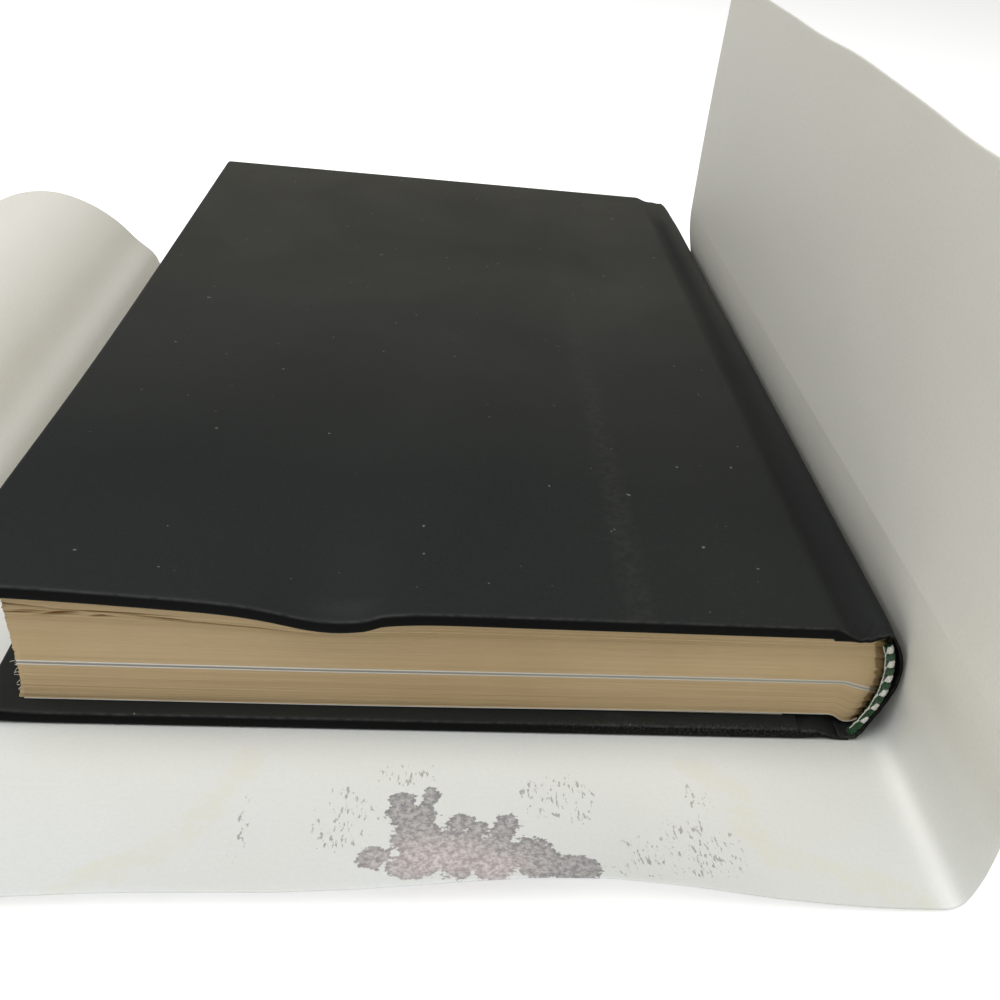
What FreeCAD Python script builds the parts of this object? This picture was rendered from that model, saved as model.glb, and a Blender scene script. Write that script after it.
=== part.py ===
"""A closed hardcover book that lies on its own opened dust jacket.

Frame: X runs across the book from the fore edge to the spine, Y from the near end to the far end,
Z up. The origin is on the floor under the centre of the book's footprint. Lengths are millimetres.
"""

import FreeCAD
import Part
import math
import os

DOC = FreeCAD.newDocument("hardcover_book")

# Driving dimensions: alias, value, meaning
SIZES = [
    ("board_height", 240.0, "boards, head to tail"),
    ("board_width", 150.6, "boards, fore edge to groove"),
    ("board_thickness", 2.2, "bare board"),
    ("book_thickness", 29.0, "outside of one cover to the other"),
    ("covering_thickness", 0.25, "dark covering"),
    ("paste_gap", 0.05, "paste line between glued pieces"),
    ("turn_in", 15.0, "covering folded in over the boards"),
    ("corner_radius", 1.5, "rounded corners of the covers"),
    ("spine_reach", 15.8, "board edge to the outermost spine"),
    ("spine_round", 5.1, "how far the spine bulges"),
    ("spine_drop", 0.5, "spine ends below the outside of the covers"),
    ("groove_offset", 4.9, "board edge to the bottom of the groove"),
    ("groove_half_width", 4.7, "groove bottom to its outer ridge"),
    ("groove_depth", 2.4, "groove below the outside of the cover"),
    ("hinge_gap", 2.2, "board edge to the covering of the spine"),
    ("inlay_thickness", 0.6, "card strip in the spine"),
    ("hollow_gap", 0.5, "air between the spine and the block"),
    ("lining_thickness", 0.3, "gauze and paper on the block's spine"),
    ("head_square", 3.4, "covers beyond the block at head and tail"),
    ("fore_square", 7.2, "covers beyond the block at the fore edge"),
    ("paper_margin", 3.0, "pastedown inside the edge of the board"),
    ("leaf_thickness", 0.15, "endpaper"),
    ("cover_gap", 0.3, "air between pastedown and flyleaf"),
    ("shoulder_flare", 1.2, "shoulders of the block beyond its faces"),
    ("band_diameter", 2.4, "cord of the head and tail bands"),
    ("tape_length", 10.0, "tape of the bands along the spine"),
    ("corner_lift", 2.9, "lifted near corner of the front cover"),
    ("lift_reach", 42.0, "lift across the cover"),
    ("lift_run", 60.0, "lift along the cover"),
    ("dent_depth", 2.2, "dent in the near edge of the front cover"),
    ("dent_place", 60.0, "dent from the fore edge"),
    ("dent_reach", 11.0, "dent across the cover"),
    ("dent_run", 25.0, "dent along the cover"),
    ("jacket_thickness", 0.3, "paper of the dust jacket"),
    ("jacket_height", 240.0, "jacket, head to tail"),
    ("jacket_shift", 36.0, "jacket beyond the near end of the book"),
    ("jacket_margin", 1.9, "flap fold to the right of the spine"),
    ("flap_height", 105.0, "standing flap"),
    ("flap_crease", 31.0, "old crease up the standing flap"),
    ("flap_lean", 5.5, "how far the flap leans in over the spine"),
    ("jacket_gap", 0.8, "outside of the jacket from the rounded spine"),
    ("flap_curl", 5.0, "curl of the flap's near top corner"),
    ("jacket_flat", 185.5, "panel and spine strip under the book"),
    ("arch_width", 86.0, "arched part of the other panel"),
    ("arch_height", 24.4, "top of the arch"),
    ("arch_lead", 31.5, "crease to the top of the arch"),
    ("panel_rest", 46.0, "flat part beyond the arch"),
    ("end_flap_width", 92.0, "last flap"),
    ("end_flap_rise", 34.0, "free edge of the last flap above the floor"),
    ("wave_height", 8.2, "wave in the jacket's near edge"),
    ("wave_place", 103.2, "wave from the fore edge of the book"),
    ("wave_reach", 33.0, "half width of the wave"),
    ("ripple_height", 4.6, "lower wave beside it"),
    ("ripple_place", 38.2, "lower wave from the fore edge of the book"),
    ("ripple_reach", 45.0, "half width of the lower wave"),
]


def make_sheet():
    sheet = DOC.addObject("Spreadsheet::Sheet", "sizes")
    for row, (alias, value, meaning) in enumerate(SIZES, start=1):
        sheet.set(f"A{row}", alias)
        sheet.set(f"B{row}", str(value))
        sheet.set(f"C{row}", meaning)
        sheet.setAlias(f"B{row}", alias)
    DOC.recompute()
    return sheet


SHEET = make_sheet()


def size(alias):
    return float(getattr(SHEET, alias))


# Sizes that follow from the driving ones
COVERING = size("covering_thickness")
PASTE = size("paste_gap")
LEAF = size("leaf_thickness")
COVER = size("board_thickness") + 2 * (COVERING + PASTE)
FORE_X = -(size("board_width") + size("spine_reach")) / 2
HINGE_X = FORE_X + size("board_width")
SPINE_X = HINGE_X + size("spine_reach")
NEAR_Y = -size("board_height") / 2
FAR_Y = -NEAR_Y
BASE_Z = size("jacket_thickness")
TOP_Z = BASE_Z + size("book_thickness")
MID_Z = (BASE_Z + TOP_Z) / 2
BLOCK_INSET = COVER + LEAF + size("cover_gap") + LEAF
BLOCK_BASE = BASE_Z + BLOCK_INSET
BLOCK_NEAR = NEAR_Y + size("head_square")
BLOCK_FAR = FAR_Y - size("head_square")
BLOCK_FORE = FORE_X + size("fore_square")
SHOULDER_X = HINGE_X + size("hinge_gap")
INLAY_LAYER = size("inlay_thickness") + 2 * PASTE
HALF_CHORD = size("book_thickness") / 2 - size("spine_drop")
SPINE_RADIUS = (HALF_CHORD**2 + size("spine_round") ** 2) / (2 * size("spine_round"))
SPINE_CENTRE = SPINE_X - SPINE_RADIUS
BLOCK_RADIUS = (
    SPINE_RADIUS - 2 * COVERING - INLAY_LAYER - size("hollow_gap") - size("lining_thickness")
)
GRID_STEP = 8.0  # spacing of the points that carry a curved surface
EXTRA = 5.0  # how far a cutting tool runs past what it cuts
UPRIGHT = 0.9  # an edge counts as upright when its direction's Z is above this
# Shares of the spine's half angle that its covering and its inlay reach
COVERING_SHARE = 0.93
INLAY_SHARE = 0.86
# Outline of the block's shoulder: share of the way to the spine, share of the flare
SHOULDER_LINE = [(0.0, 0.0), (0.3, 0.0), (0.6, 0.7), (0.85, 1.0)]
# The jacket lies along the rounded spine at these angles above its outermost line, in degrees
WRAP_ANGLES = (33, 22, 11, 0)
# Below the spine: distance past the fold, share of the old crease's height
FOOT_LINE = [(0.1, 0.27), (0.3, 0.1), (0.0, 0.0)]
# The arched panel, as shares of its lead or of the rest of its width, and of its height
ARCH_RISE = [(0.0, 0.0), (0.07, 0.26), (0.22, 0.43), (0.42, 0.68), (0.65, 0.87), (1.0, 1.0)]
ARCH_FALL = [(0.15, 0.97), (0.35, 0.78), (0.55, 0.47), (0.75, 0.18), (0.9, 0.03), (1.0, 0.0)]
FLAP_SHARES = (1.0, 0.85, 0.7, 0.35, 0.0)  # heights at which the standing flap is drawn
FLAP_SLANT = 0.12  # how much further the flap's free edge leans than its crease
END_FLAP_POWER = 1.6  # how late the last flap turns up


def bell(distance, reach):
    """One at the middle, fading smoothly to nothing at about twice the reach."""
    return math.exp(-((distance / reach) ** 2))


def warp(x, y):
    """How far the front cover stands above its flat place, from its lifted corner and its dent."""
    across = x - FORE_X
    along = y - NEAR_Y
    lift = bell(across, size("lift_reach")) * bell(along, size("lift_run"))
    dent = bell(across - size("dent_place"), size("dent_reach")) * bell(along, size("dent_run"))
    return size("corner_lift") * lift - size("dent_depth") * dent


def spaced(start, end):
    """Evenly spaced values from start to end, about one grid step apart."""
    count = max(int(math.ceil((end - start) / GRID_STEP)), 2)
    return [start + (end - start) * i / count for i in range(count + 1)]


def cover_surface():
    """The bent upper side of the front cover, at height zero and a little larger than the cover."""
    rows = [
        [
            FreeCAD.Vector(x, y, warp(x, y))
            for y in spaced(NEAR_Y - EXTRA, FAR_Y + EXTRA)
        ]
        for x in spaced(FORE_X - EXTRA, SHOULDER_X + EXTRA)
    ]
    surface = Part.BSplineSurface()
    surface.interpolate(rows)
    return surface.toShape()


COVER_SURFACE = cover_surface()


def warped_slab(x_range, y_range, top_z, thickness, radius=0.0):
    """A slab under the front cover's bent surface, so that all such slabs nest exactly."""
    face = COVER_SURFACE.translated(FreeCAD.Vector(0, 0, top_z))
    slab = face.extrude(FreeCAD.Vector(0, 0, -thickness))
    room = size("corner_lift") + size("dent_depth")
    z_range = top_z - thickness - room, top_z + room
    return slab.common(upright_prism(x_range, y_range, z_range, radius))


def upright_prism(x_range, y_range, z_range, radius=0.0):
    """A block with vertical sides, its upright edges rounded where a radius is given."""
    lengths = [high - low for low, high in (x_range, y_range, z_range)]
    prism = Part.makeBox(*lengths, FreeCAD.Vector(x_range[0], y_range[0], z_range[0]))
    if radius:
        upright = [e for e in prism.Edges if abs(e.tangentAt(e.FirstParameter).z) > UPRIGHT]
        prism = prism.makeFillet(radius, upright)
    return prism


def at(points, y):
    return [FreeCAD.Vector(x, y, z) for x, z in points]


def curve(points):
    """A smooth edge through the points."""
    spline = Part.BSplineCurve()
    spline.interpolate(points)
    return spline.toShape()


def lines(points):
    return [Part.LineSegment(a, b).toShape() for a, b in zip(points, points[1:])]


def beside(points, distance):
    """The points of a path moved to its left by a distance, mitred at the corners."""
    moved = []
    for i, (x, z) in enumerate(points):
        before = points[max(i - 1, 0)]
        after = points[min(i + 1, len(points) - 1)]
        ways = []
        for a, b in ((before, (x, z)), ((x, z), after)):
            length = math.dist(a, b)
            if length > 0:
                ways.append((-(b[1] - a[1]) / length, (b[0] - a[0]) / length))
        across = sum(w[0] for w in ways) / len(ways), sum(w[1] for w in ways) / len(ways)
        scale = distance / (across[0] ** 2 + across[1] ** 2)
        moved.append((x + across[0] * scale, z + across[1] * scale))
    return moved


def extruded(edges, y_range):
    face = Part.Face(Part.Wire(Part.__sortEdges__(edges)))
    return face.extrude(FreeCAD.Vector(0, y_range[1] - y_range[0], 0))


def arc_point(radius, angle, y):
    """A point of the rounded spine: angle 0 is its outermost line, positive towards the front."""
    x = SPINE_CENTRE + radius * math.cos(angle)
    return FreeCAD.Vector(x, y, MID_Z + radius * math.sin(angle))


def arc_band(outer, thickness, half_angle, y_range):
    """A strip bent around the spine, its outside at the outer radius."""
    y = y_range[0]
    inner = outer - thickness
    outside = Part.Arc(*[arc_point(outer, a, y) for a in (-half_angle, 0, half_angle)])
    inside = Part.Arc(*[arc_point(inner, a, y) for a in (-half_angle, 0, half_angle)])
    ends = [
        Part.LineSegment(arc_point(inner, a, y), arc_point(outer, a, y)).toShape()
        for a in (-half_angle, half_angle)
    ]
    return extruded([outside.toShape(), inside.toShape()] + ends, y_range)


def feature(label, shape):
    """A sub-part whose shape is worked out from the sheet's sizes."""
    part = DOC.addObject("Part::Feature", label)
    part.Label = label
    part.Shape = shape.removeSplitter()
    return part


def bound_box(owner, name, kind, lengths, place):
    """A box whose lengths and corner are expressions in the sheet's aliases."""
    box = owner.newObject(kind, name) if owner else DOC.addObject(kind, name)
    for key, expression in zip(("Length", "Width", "Height"), lengths):
        box.setExpression(key, expression)
    for key, expression in zip(("x", "y", "z"), place):
        box.setExpression(f"Placement.Base.{key}", expression)
    return box


# Expressions that several bound pieces share
FORE = "-(sizes.board_width + sizes.spine_reach) / 2"
NEAR = "-sizes.board_height / 2"
LAYER = "sizes.covering_thickness + sizes.paste_gap"
COVER_THICKNESS = f"(sizes.board_thickness + 2 * ({LAYER}))"
PAPER_LENGTH = "sizes.board_width - 2 * sizes.paper_margin"
PAPER_WIDTH = "sizes.board_height - 2 * sizes.paper_margin"


def round_corners(body, box):
    """Rounds the four upright edges of a body's first box."""
    DOC.recompute()
    upright = [
        f"Edge{i}"
        for i, edge in enumerate(box.Shape.Edges, start=1)
        if abs(edge.tangentAt(edge.FirstParameter).z) > UPRIGHT
    ]
    fillet = body.newObject("PartDesign::Fillet", f"{box.Name}_corners")
    fillet.Base = (box, upright)
    fillet.setExpression("Radius", "sizes.corner_radius")
    return fillet


def back_board():
    """The bare lower board, inside its covering."""
    body = DOC.addObject("PartDesign::Body", "back_board")
    body.Label = "back_board"
    board = bound_box(
        body,
        "back_board_plate",
        "PartDesign::AdditiveBox",
        (
            f"sizes.board_width - 2 * ({LAYER})",
            f"sizes.board_height - 2 * ({LAYER})",
            "sizes.board_thickness",
        ),
        (f"{FORE} + {LAYER}", f"{NEAR} + {LAYER}", f"sizes.jacket_thickness + {LAYER}"),
    )
    round_corners(body, board)
    return body


def back_covering():
    """The dark covering of the lower board: outside, edges and turn-ins."""
    body = DOC.addObject("PartDesign::Body", "back_covering")
    body.Label = "back_covering"
    outside = bound_box(
        body,
        "back_covering_outside",
        "PartDesign::AdditiveBox",
        ("sizes.board_width", "sizes.board_height", COVER_THICKNESS),
        (FORE, NEAR, "sizes.jacket_thickness"),
    )
    round_corners(body, outside)
    bound_box(
        body,
        "back_covering_pocket",
        "PartDesign::SubtractiveBox",
        (
            "sizes.board_width - 2 * sizes.covering_thickness",
            "sizes.board_height - 2 * sizes.covering_thickness",
            "sizes.board_thickness + 2 * sizes.paste_gap",
        ),
        (
            f"{FORE} + sizes.covering_thickness",
            f"{NEAR} + sizes.covering_thickness",
            "sizes.jacket_thickness + sizes.covering_thickness",
        ),
    )
    bound_box(
        body,
        "back_covering_window",
        "PartDesign::SubtractiveBox",
        (
            "sizes.board_width - sizes.turn_in - sizes.covering_thickness",
            "sizes.board_height - 2 * sizes.turn_in",
            COVER_THICKNESS,
        ),
        (
            f"{FORE} + sizes.turn_in",
            f"{NEAR} + sizes.turn_in",
            "sizes.jacket_thickness + sizes.board_thickness",
        ),
    )
    return body


def back_pastedown():
    """The endpaper half glued inside the lower cover, over the turn-ins and into their window."""
    sheet = bound_box(
        None,
        "back_pastedown_leaf",
        "Part::Box",
        (PAPER_LENGTH, PAPER_WIDTH, "sizes.leaf_thickness"),
        (
            f"{FORE} + sizes.paper_margin",
            f"{NEAR} + sizes.paper_margin",
            f"sizes.jacket_thickness + {COVER_THICKNESS}",
        ),
    )
    fill = bound_box(
        None,
        "back_pastedown_fill",
        "Part::Box",
        (
            "sizes.board_width - sizes.turn_in - sizes.paper_margin - 2 * sizes.paste_gap",
            "sizes.board_height - 2 * sizes.turn_in - 2 * sizes.paste_gap",
            "sizes.leaf_thickness + sizes.covering_thickness",
        ),
        (
            f"{FORE} + sizes.turn_in + sizes.paste_gap",
            f"{NEAR} + sizes.turn_in + sizes.paste_gap",
            f"sizes.jacket_thickness + {COVER_THICKNESS} - sizes.covering_thickness",
        ),
    )
    pastedown = DOC.addObject("Part::Fuse", "back_pastedown")
    pastedown.Label = "back_pastedown"
    pastedown.Base = sheet
    pastedown.Tool = fill
    pastedown.Refine = True
    return pastedown


def back_flyleaf():
    """The free endpaper half under the block."""
    leaf = bound_box(
        None,
        "back_flyleaf",
        "Part::Box",
        (
            "sizes.board_width + sizes.hinge_gap - sizes.fore_square",
            "sizes.board_height - 2 * sizes.head_square",
            "sizes.leaf_thickness",
        ),
        (
            f"{FORE} + sizes.fore_square",
            f"{NEAR} + sizes.head_square",
            f"sizes.jacket_thickness + {COVER_THICKNESS} + sizes.leaf_thickness + sizes.cover_gap",
        ),
    )
    leaf.Label = "back_flyleaf"
    return leaf


def front_board():
    """The bare upper board, bent as the photographed cover is."""
    inset = COVERING + PASTE
    x_range = FORE_X + inset, HINGE_X - inset
    y_range = NEAR_Y + inset, FAR_Y - inset
    thickness = size("board_thickness")
    slab = warped_slab(x_range, y_range, TOP_Z - inset, thickness, size("corner_radius"))
    return feature("front_board", slab)


def front_covering():
    """The dark covering of the upper board: outside, edges and turn-ins."""
    x_range = FORE_X, HINGE_X
    y_range = NEAR_Y, FAR_Y
    outside = warped_slab(x_range, y_range, TOP_Z, COVER, size("corner_radius"))
    pocket = warped_slab(
        (FORE_X + COVERING, HINGE_X - COVERING),
        (NEAR_Y + COVERING, FAR_Y - COVERING),
        TOP_Z - COVERING,
        size("board_thickness") + 2 * PASTE,
    )
    window_x = FORE_X + size("turn_in"), HINGE_X - COVERING
    window_y = NEAR_Y + size("turn_in"), FAR_Y - size("turn_in")
    window = warped_slab(window_x, window_y, TOP_Z - COVER / 2, COVER)
    return feature("front_covering", outside.cut(pocket).cut(window))


def front_pastedown():
    """The endpaper half glued inside the upper cover, over the turn-ins and into their window."""
    margin = size("paper_margin")
    leaf = warped_slab(
        (FORE_X + margin, HINGE_X - margin),
        (NEAR_Y + margin, FAR_Y - margin),
        TOP_Z - COVER,
        LEAF,
    )
    window_x = FORE_X + size("turn_in") + PASTE, HINGE_X - margin - PASTE
    window_y = NEAR_Y + size("turn_in") + PASTE, FAR_Y - size("turn_in") - PASTE
    fill = warped_slab(window_x, window_y, TOP_Z - COVER + COVERING, COVERING + LEAF / 2)
    return feature("front_pastedown", leaf.fuse(fill))


def front_flyleaf():
    """The free endpaper half on the block, bent with the pages under it."""
    leaf = warped_slab(
        (BLOCK_FORE, SHOULDER_X),
        (BLOCK_NEAR, BLOCK_FAR),
        TOP_Z - BLOCK_INSET + LEAF,
        LEAF,
    )
    return feature("front_flyleaf", leaf)


def shoulder(sign):
    """Half of the block's outline by the spine, from its flat face out over the shoulder."""
    flat = (TOP_Z - BASE_Z) / 2 - BLOCK_INSET
    flare = size("shoulder_flare")
    end_height = flat - flare / 2
    end_x = SPINE_CENTRE + math.sqrt(BLOCK_RADIUS**2 - end_height**2)
    run = end_x - SHOULDER_X
    points = [
        (SHOULDER_X + run * share, MID_Z + sign * (flat + flare * level))
        for share, level in SHOULDER_LINE
    ]
    return points + [(end_x, MID_Z + sign * end_height)]


def text_block():
    """All the leaves as one solid, with a rounded and backed spine."""
    flat_top = TOP_Z - BLOCK_INSET
    leaves = warped_slab(
        (BLOCK_FORE, SHOULDER_X), (BLOCK_NEAR, BLOCK_FAR), flat_top, 2 * (flat_top - BLOCK_BASE)
    )
    room = upright_prism(
        (BLOCK_FORE - EXTRA, SHOULDER_X + EXTRA),
        (NEAR_Y, FAR_Y),
        (BLOCK_BASE, TOP_Z + EXTRA),
    )
    upper = at(shoulder(1), BLOCK_NEAR)
    lower = at(shoulder(-1), BLOCK_NEAR)
    outline = [
        curve(upper),
        Part.Arc(upper[-1], arc_point(BLOCK_RADIUS, 0, BLOCK_NEAR), lower[-1]).toShape(),
        curve(lower),
        Part.LineSegment(lower[0], upper[0]).toShape(),
    ]
    spine = extruded(outline, (BLOCK_NEAR, BLOCK_FAR))
    return feature("text_block", leaves.common(room).fuse(spine))


def block_half_angle(radius, margin):
    """The half angle of a band on the block's spine that ends a margin short of the shoulders."""
    height = (TOP_Z - BASE_Z) / 2 - BLOCK_INSET - margin
    return math.asin(height / radius)


def end_band(label, end_y, inward):
    """A sewn band: a cord against the end of the block and a tape glued over its spine."""
    radius = size("band_diameter") / 2
    thickness = size("lining_thickness") - PASTE
    outer = BLOCK_RADIUS + PASTE + thickness
    centre = outer - radius
    half_angle = block_half_angle(BLOCK_RADIUS, radius)
    y = end_y - inward * (radius + PASTE)
    start = arc_point(centre, -half_angle, y)
    along = FreeCAD.Vector(math.sin(half_angle), 0, math.cos(half_angle))
    ring = Part.Face(Part.Wire(Part.Circle(start, along, radius).toShape()))
    axis_point = FreeCAD.Vector(SPINE_CENTRE, y, MID_Z)
    cord = ring.revolve(axis_point, FreeCAD.Vector(0, -1, 0), math.degrees(2 * half_angle))
    tape_y = sorted((y, end_y + inward * size("tape_length")))
    tape = arc_band(outer, thickness, half_angle, tape_y)
    return feature(label, cord.fuse(tape))


def spine_lining():
    """Gauze and paper glued on the block's spine, between the tapes of the two bands."""
    reach = size("tape_length") + PASTE
    y_range = BLOCK_NEAR + reach, BLOCK_FAR - reach
    half_angle = block_half_angle(BLOCK_RADIUS, size("shoulder_flare"))
    thickness = size("lining_thickness") - PASTE
    outer = BLOCK_RADIUS + PASTE + thickness
    return feature("spine_lining", arc_band(outer, thickness, half_angle, y_range))


INLAY_HALF_ANGLE = math.asin(HALF_CHORD / SPINE_RADIUS) * INLAY_SHARE


def spine_inlay():
    """The card strip inside the covering of the spine."""
    y_range = NEAR_Y + COVERING + PASTE, FAR_Y - COVERING - PASTE
    outer = SPINE_RADIUS - COVERING - PASTE
    band = arc_band(outer, size("inlay_thickness"), INLAY_HALF_ANGLE, y_range)
    return feature("spine_inlay", band)


def spine_path():
    """The outside of the spine's covering: groove, ridge, rounded spine, ridge and groove."""
    groove_x = HINGE_X + size("groove_offset")
    half_width = size("groove_half_width")
    depth = size("groove_depth")
    drop = size("spine_drop")
    upper = []
    start = SHOULDER_X - groove_x
    count = 8
    for i in range(count + 1):
        across = start + (half_width - start) * i / count
        ridge = drop if across > 0 else 0.0
        dip = (depth - ridge) * (1 + math.cos(math.pi * across / half_width)) / 2
        upper.append((groove_x + across, TOP_Z - ridge - dip))
    end_angle = math.asin(HALF_CHORD / SPINE_RADIUS) * COVERING_SHARE
    steps = 10
    angles = [end_angle * (1 - 2 * i / steps) for i in range(steps + 1)]
    spine = [
        (SPINE_CENTRE + SPINE_RADIUS * math.cos(a), MID_Z + SPINE_RADIUS * math.sin(a))
        for a in angles
    ]
    lower = [(x, 2 * MID_Z - z) for x, z in reversed(upper)]
    return upper + spine + lower


def spine_covering():
    """The dark covering over the spine and its grooves, turned in around the inlay's ends."""
    outside = spine_path()
    inside = beside(outside, -COVERING)
    near_outside = at(outside, NEAR_Y)
    near_inside = at(inside, NEAR_Y)
    edges = [curve(near_outside), curve(near_inside)]
    for end in (0, -1):
        edges.append(Part.LineSegment(near_outside[end], near_inside[end]).toShape())
    skin = extruded(edges, (NEAR_Y, FAR_Y))
    margin = PASTE / SPINE_RADIUS
    fold_angle = INLAY_HALF_ANGLE + margin
    turn = size("turn_in")
    fold_radius = SPINE_RADIUS - COVERING / 2
    folds = arc_band(
        fold_radius, INLAY_LAYER + 1.5 * COVERING, fold_angle + margin, (NEAR_Y, FAR_Y)
    )
    pocket = arc_band(
        SPINE_RADIUS - COVERING,
        INLAY_LAYER,
        fold_angle + 2 * margin,
        (NEAR_Y + COVERING, FAR_Y - COVERING),
    )
    window = arc_band(
        SPINE_RADIUS - COVERING - PASTE,
        INLAY_LAYER + 2 * COVERING,
        fold_angle + 2 * margin,
        (NEAR_Y + turn, FAR_Y - turn),
    )
    return feature("spine_covering", skin.fuse(folds).cut(pocket).cut(window))


FOLD_X = SPINE_X + size("jacket_margin")
CREASE_X = FOLD_X - size("jacket_flat")
JACKET_NEAR = NEAR_Y - size("jacket_shift")
JACKET_FAR = JACKET_NEAR + size("jacket_height")


def edge_share(y):
    """One at the jacket's near edge, fading to nothing where the book covers it."""
    return max(0.0, (NEAR_Y - y) / size("jacket_shift")) ** 2


def base_height(x, y):
    """The wave in the near edge of the jacket's flat part."""
    across = x - FORE_X
    wave = size("wave_height") * bell(across - size("wave_place"), size("wave_reach"))
    ripple = size("ripple_height") * bell(across - size("ripple_place"), size("ripple_reach"))
    inside = math.sin(math.pi * (FOLD_X - x) / size("jacket_flat"))
    return (wave + ripple) * min(1.0, 3 * inside) * edge_share(y)


def standing_flap(y):
    """The flap beside the spine, from its free edge down to its old crease."""
    top, crease = size("flap_height"), size("flap_crease")
    lean = size("flap_lean")
    curl = size("flap_curl") * edge_share(y)
    points = []
    for share in FLAP_SHARES:
        height = crease + (top - crease) * share
        bend = curl * max(0.0, share - 0.5) * 2
        points.append((FOLD_X - lean * (1 + FLAP_SLANT * share) + bend, height))
    return points


def leaning_strip(y):
    """Below the old crease the jacket follows the rounded spine out and down to its fold."""
    radius = SPINE_RADIUS + size("jacket_gap")
    crease_z = size("flap_crease")
    crease = (FOLD_X - size("flap_lean"), crease_z)
    round_part = [arc_point(radius, math.radians(a), y) for a in WRAP_ANGLES]
    foot = [(FOLD_X + past, crease_z * share) for past, share in FOOT_LINE]
    return [crease] + [(p.x, p.z) for p in round_part] + foot


def flat_part(y):
    """The panel and spine strip under the book, from the flap fold to the other crease."""
    count = 16
    xs = [FOLD_X + (CREASE_X - FOLD_X) * i / count for i in range(count + 1)]
    return [(x, base_height(x, y)) for x in xs]


def arch(y):
    """The other panel rises from the crease, rounds over and comes down to the floor."""
    lead, width, height = size("arch_lead"), size("arch_width"), size("arch_height")
    up = [(CREASE_X - lead * share, height * level) for share, level in ARCH_RISE]
    down = [(CREASE_X - lead - (width - lead) * share, height * level) for share, level in ARCH_FALL]
    return up + down


def last_flap(y):
    """The last flap bends up gently from its fold."""
    start = CREASE_X - size("arch_width") - size("panel_rest")
    count = 5
    shares = [i / count for i in range(count + 1)]
    width, rise = size("end_flap_width"), size("end_flap_rise")
    return [(start - width * share, rise * share**END_FLAP_POWER) for share in shares]


def jacket_panels(y):
    """The jacket's underside at one place along the book, panel by panel, and how each is drawn."""
    resting = [arch(y)[-1], last_flap(y)[0]]
    return [
        (standing_flap(y), curve),
        (leaning_strip(y), curve),
        (flat_part(y), lines),
        (arch(y), curve),
        (resting, lines),
        (last_flap(y), curve),
    ]


def jacket_wire(y):
    """The closed outline of the jacket's paper at one place along the book."""
    panels = jacket_panels(y)
    outer = [panels[0][0][0]] + [p for points, _ in panels for p in points[1:]]
    inner = beside(outer, -size("jacket_thickness"))
    there = []
    back = []
    start = 0
    for points, draw in panels:
        end = start + len(points) - 1
        for path, edges in ((outer, there), (inner, back)):
            drawn = draw(at(path[start : end + 1], y))
            edges.extend(drawn if isinstance(drawn, list) else [drawn])
        start = end
    first = Part.LineSegment(at(outer, y)[0], at(inner, y)[0]).toShape()
    last = Part.LineSegment(at(outer, y)[-1], at(inner, y)[-1]).toShape()
    return Part.Wire(Part.__sortEdges__([first] + there + [last] + back[::-1]))


def dust_jacket():
    """One folded sheet of paper: waved at its near edge, straight where the book lies on it."""
    count = 6
    shift = size("jacket_shift")
    stations = [JACKET_NEAR + shift * i / count for i in range(count + 1)]
    waved = Part.makeLoft([jacket_wire(y) for y in stations], True, True)
    straight = Part.Face(jacket_wire(NEAR_Y)).extrude(
        FreeCAD.Vector(0, JACKET_FAR - NEAR_Y, 0)
    )
    return feature("dust_jacket", straight.fuse(waved))


def build():
    parts = [
        back_board(),
        back_covering(),
        back_pastedown(),
        back_flyleaf(),
        front_board(),
        front_covering(),
        front_pastedown(),
        front_flyleaf(),
        text_block(),
        end_band("head_band", BLOCK_NEAR, 1),
        end_band("tail_band", BLOCK_FAR, -1),
        spine_lining(),
        spine_inlay(),
        spine_covering(),
        dust_jacket(),
    ]
    DOC.recompute()
    return parts


def check(parts):
    for item in DOC.Objects:
        if "Invalid" in item.State or "Error" in item.State:
            raise RuntimeError(f"{item.Label} did not compute: {item.State}")
    for part in parts:
        shape = part.Shape
        if shape.isNull() or not shape.isValid() or len(shape.Solids) != 1:
            raise RuntimeError(f"{part.Label} is not one valid solid: {len(shape.Solids)}")


def export(parts):
    os.makedirs("parts", exist_ok=True)
    for part in parts:
        part.Shape.exportStep(os.path.join("parts", f"{part.Label}.step"))


PARTS = build()
check(PARTS)
export(PARTS)
for built in PARTS:
    volume = built.Shape.Volume / 1000
    print(f"{built.Label}: {volume:.2f} cm3, {len(built.Shape.Faces)} faces")
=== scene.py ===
"""The looks of a closed hardcover book that lies on its own opened dust jacket.

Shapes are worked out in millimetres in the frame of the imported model: X from the fore edge to the
spine, Y from the near end to the far end, Z up. They are turned to metres when a mesh is made.
"""

import bpy
import numpy as np
from mathutils import Matrix, Vector


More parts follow.
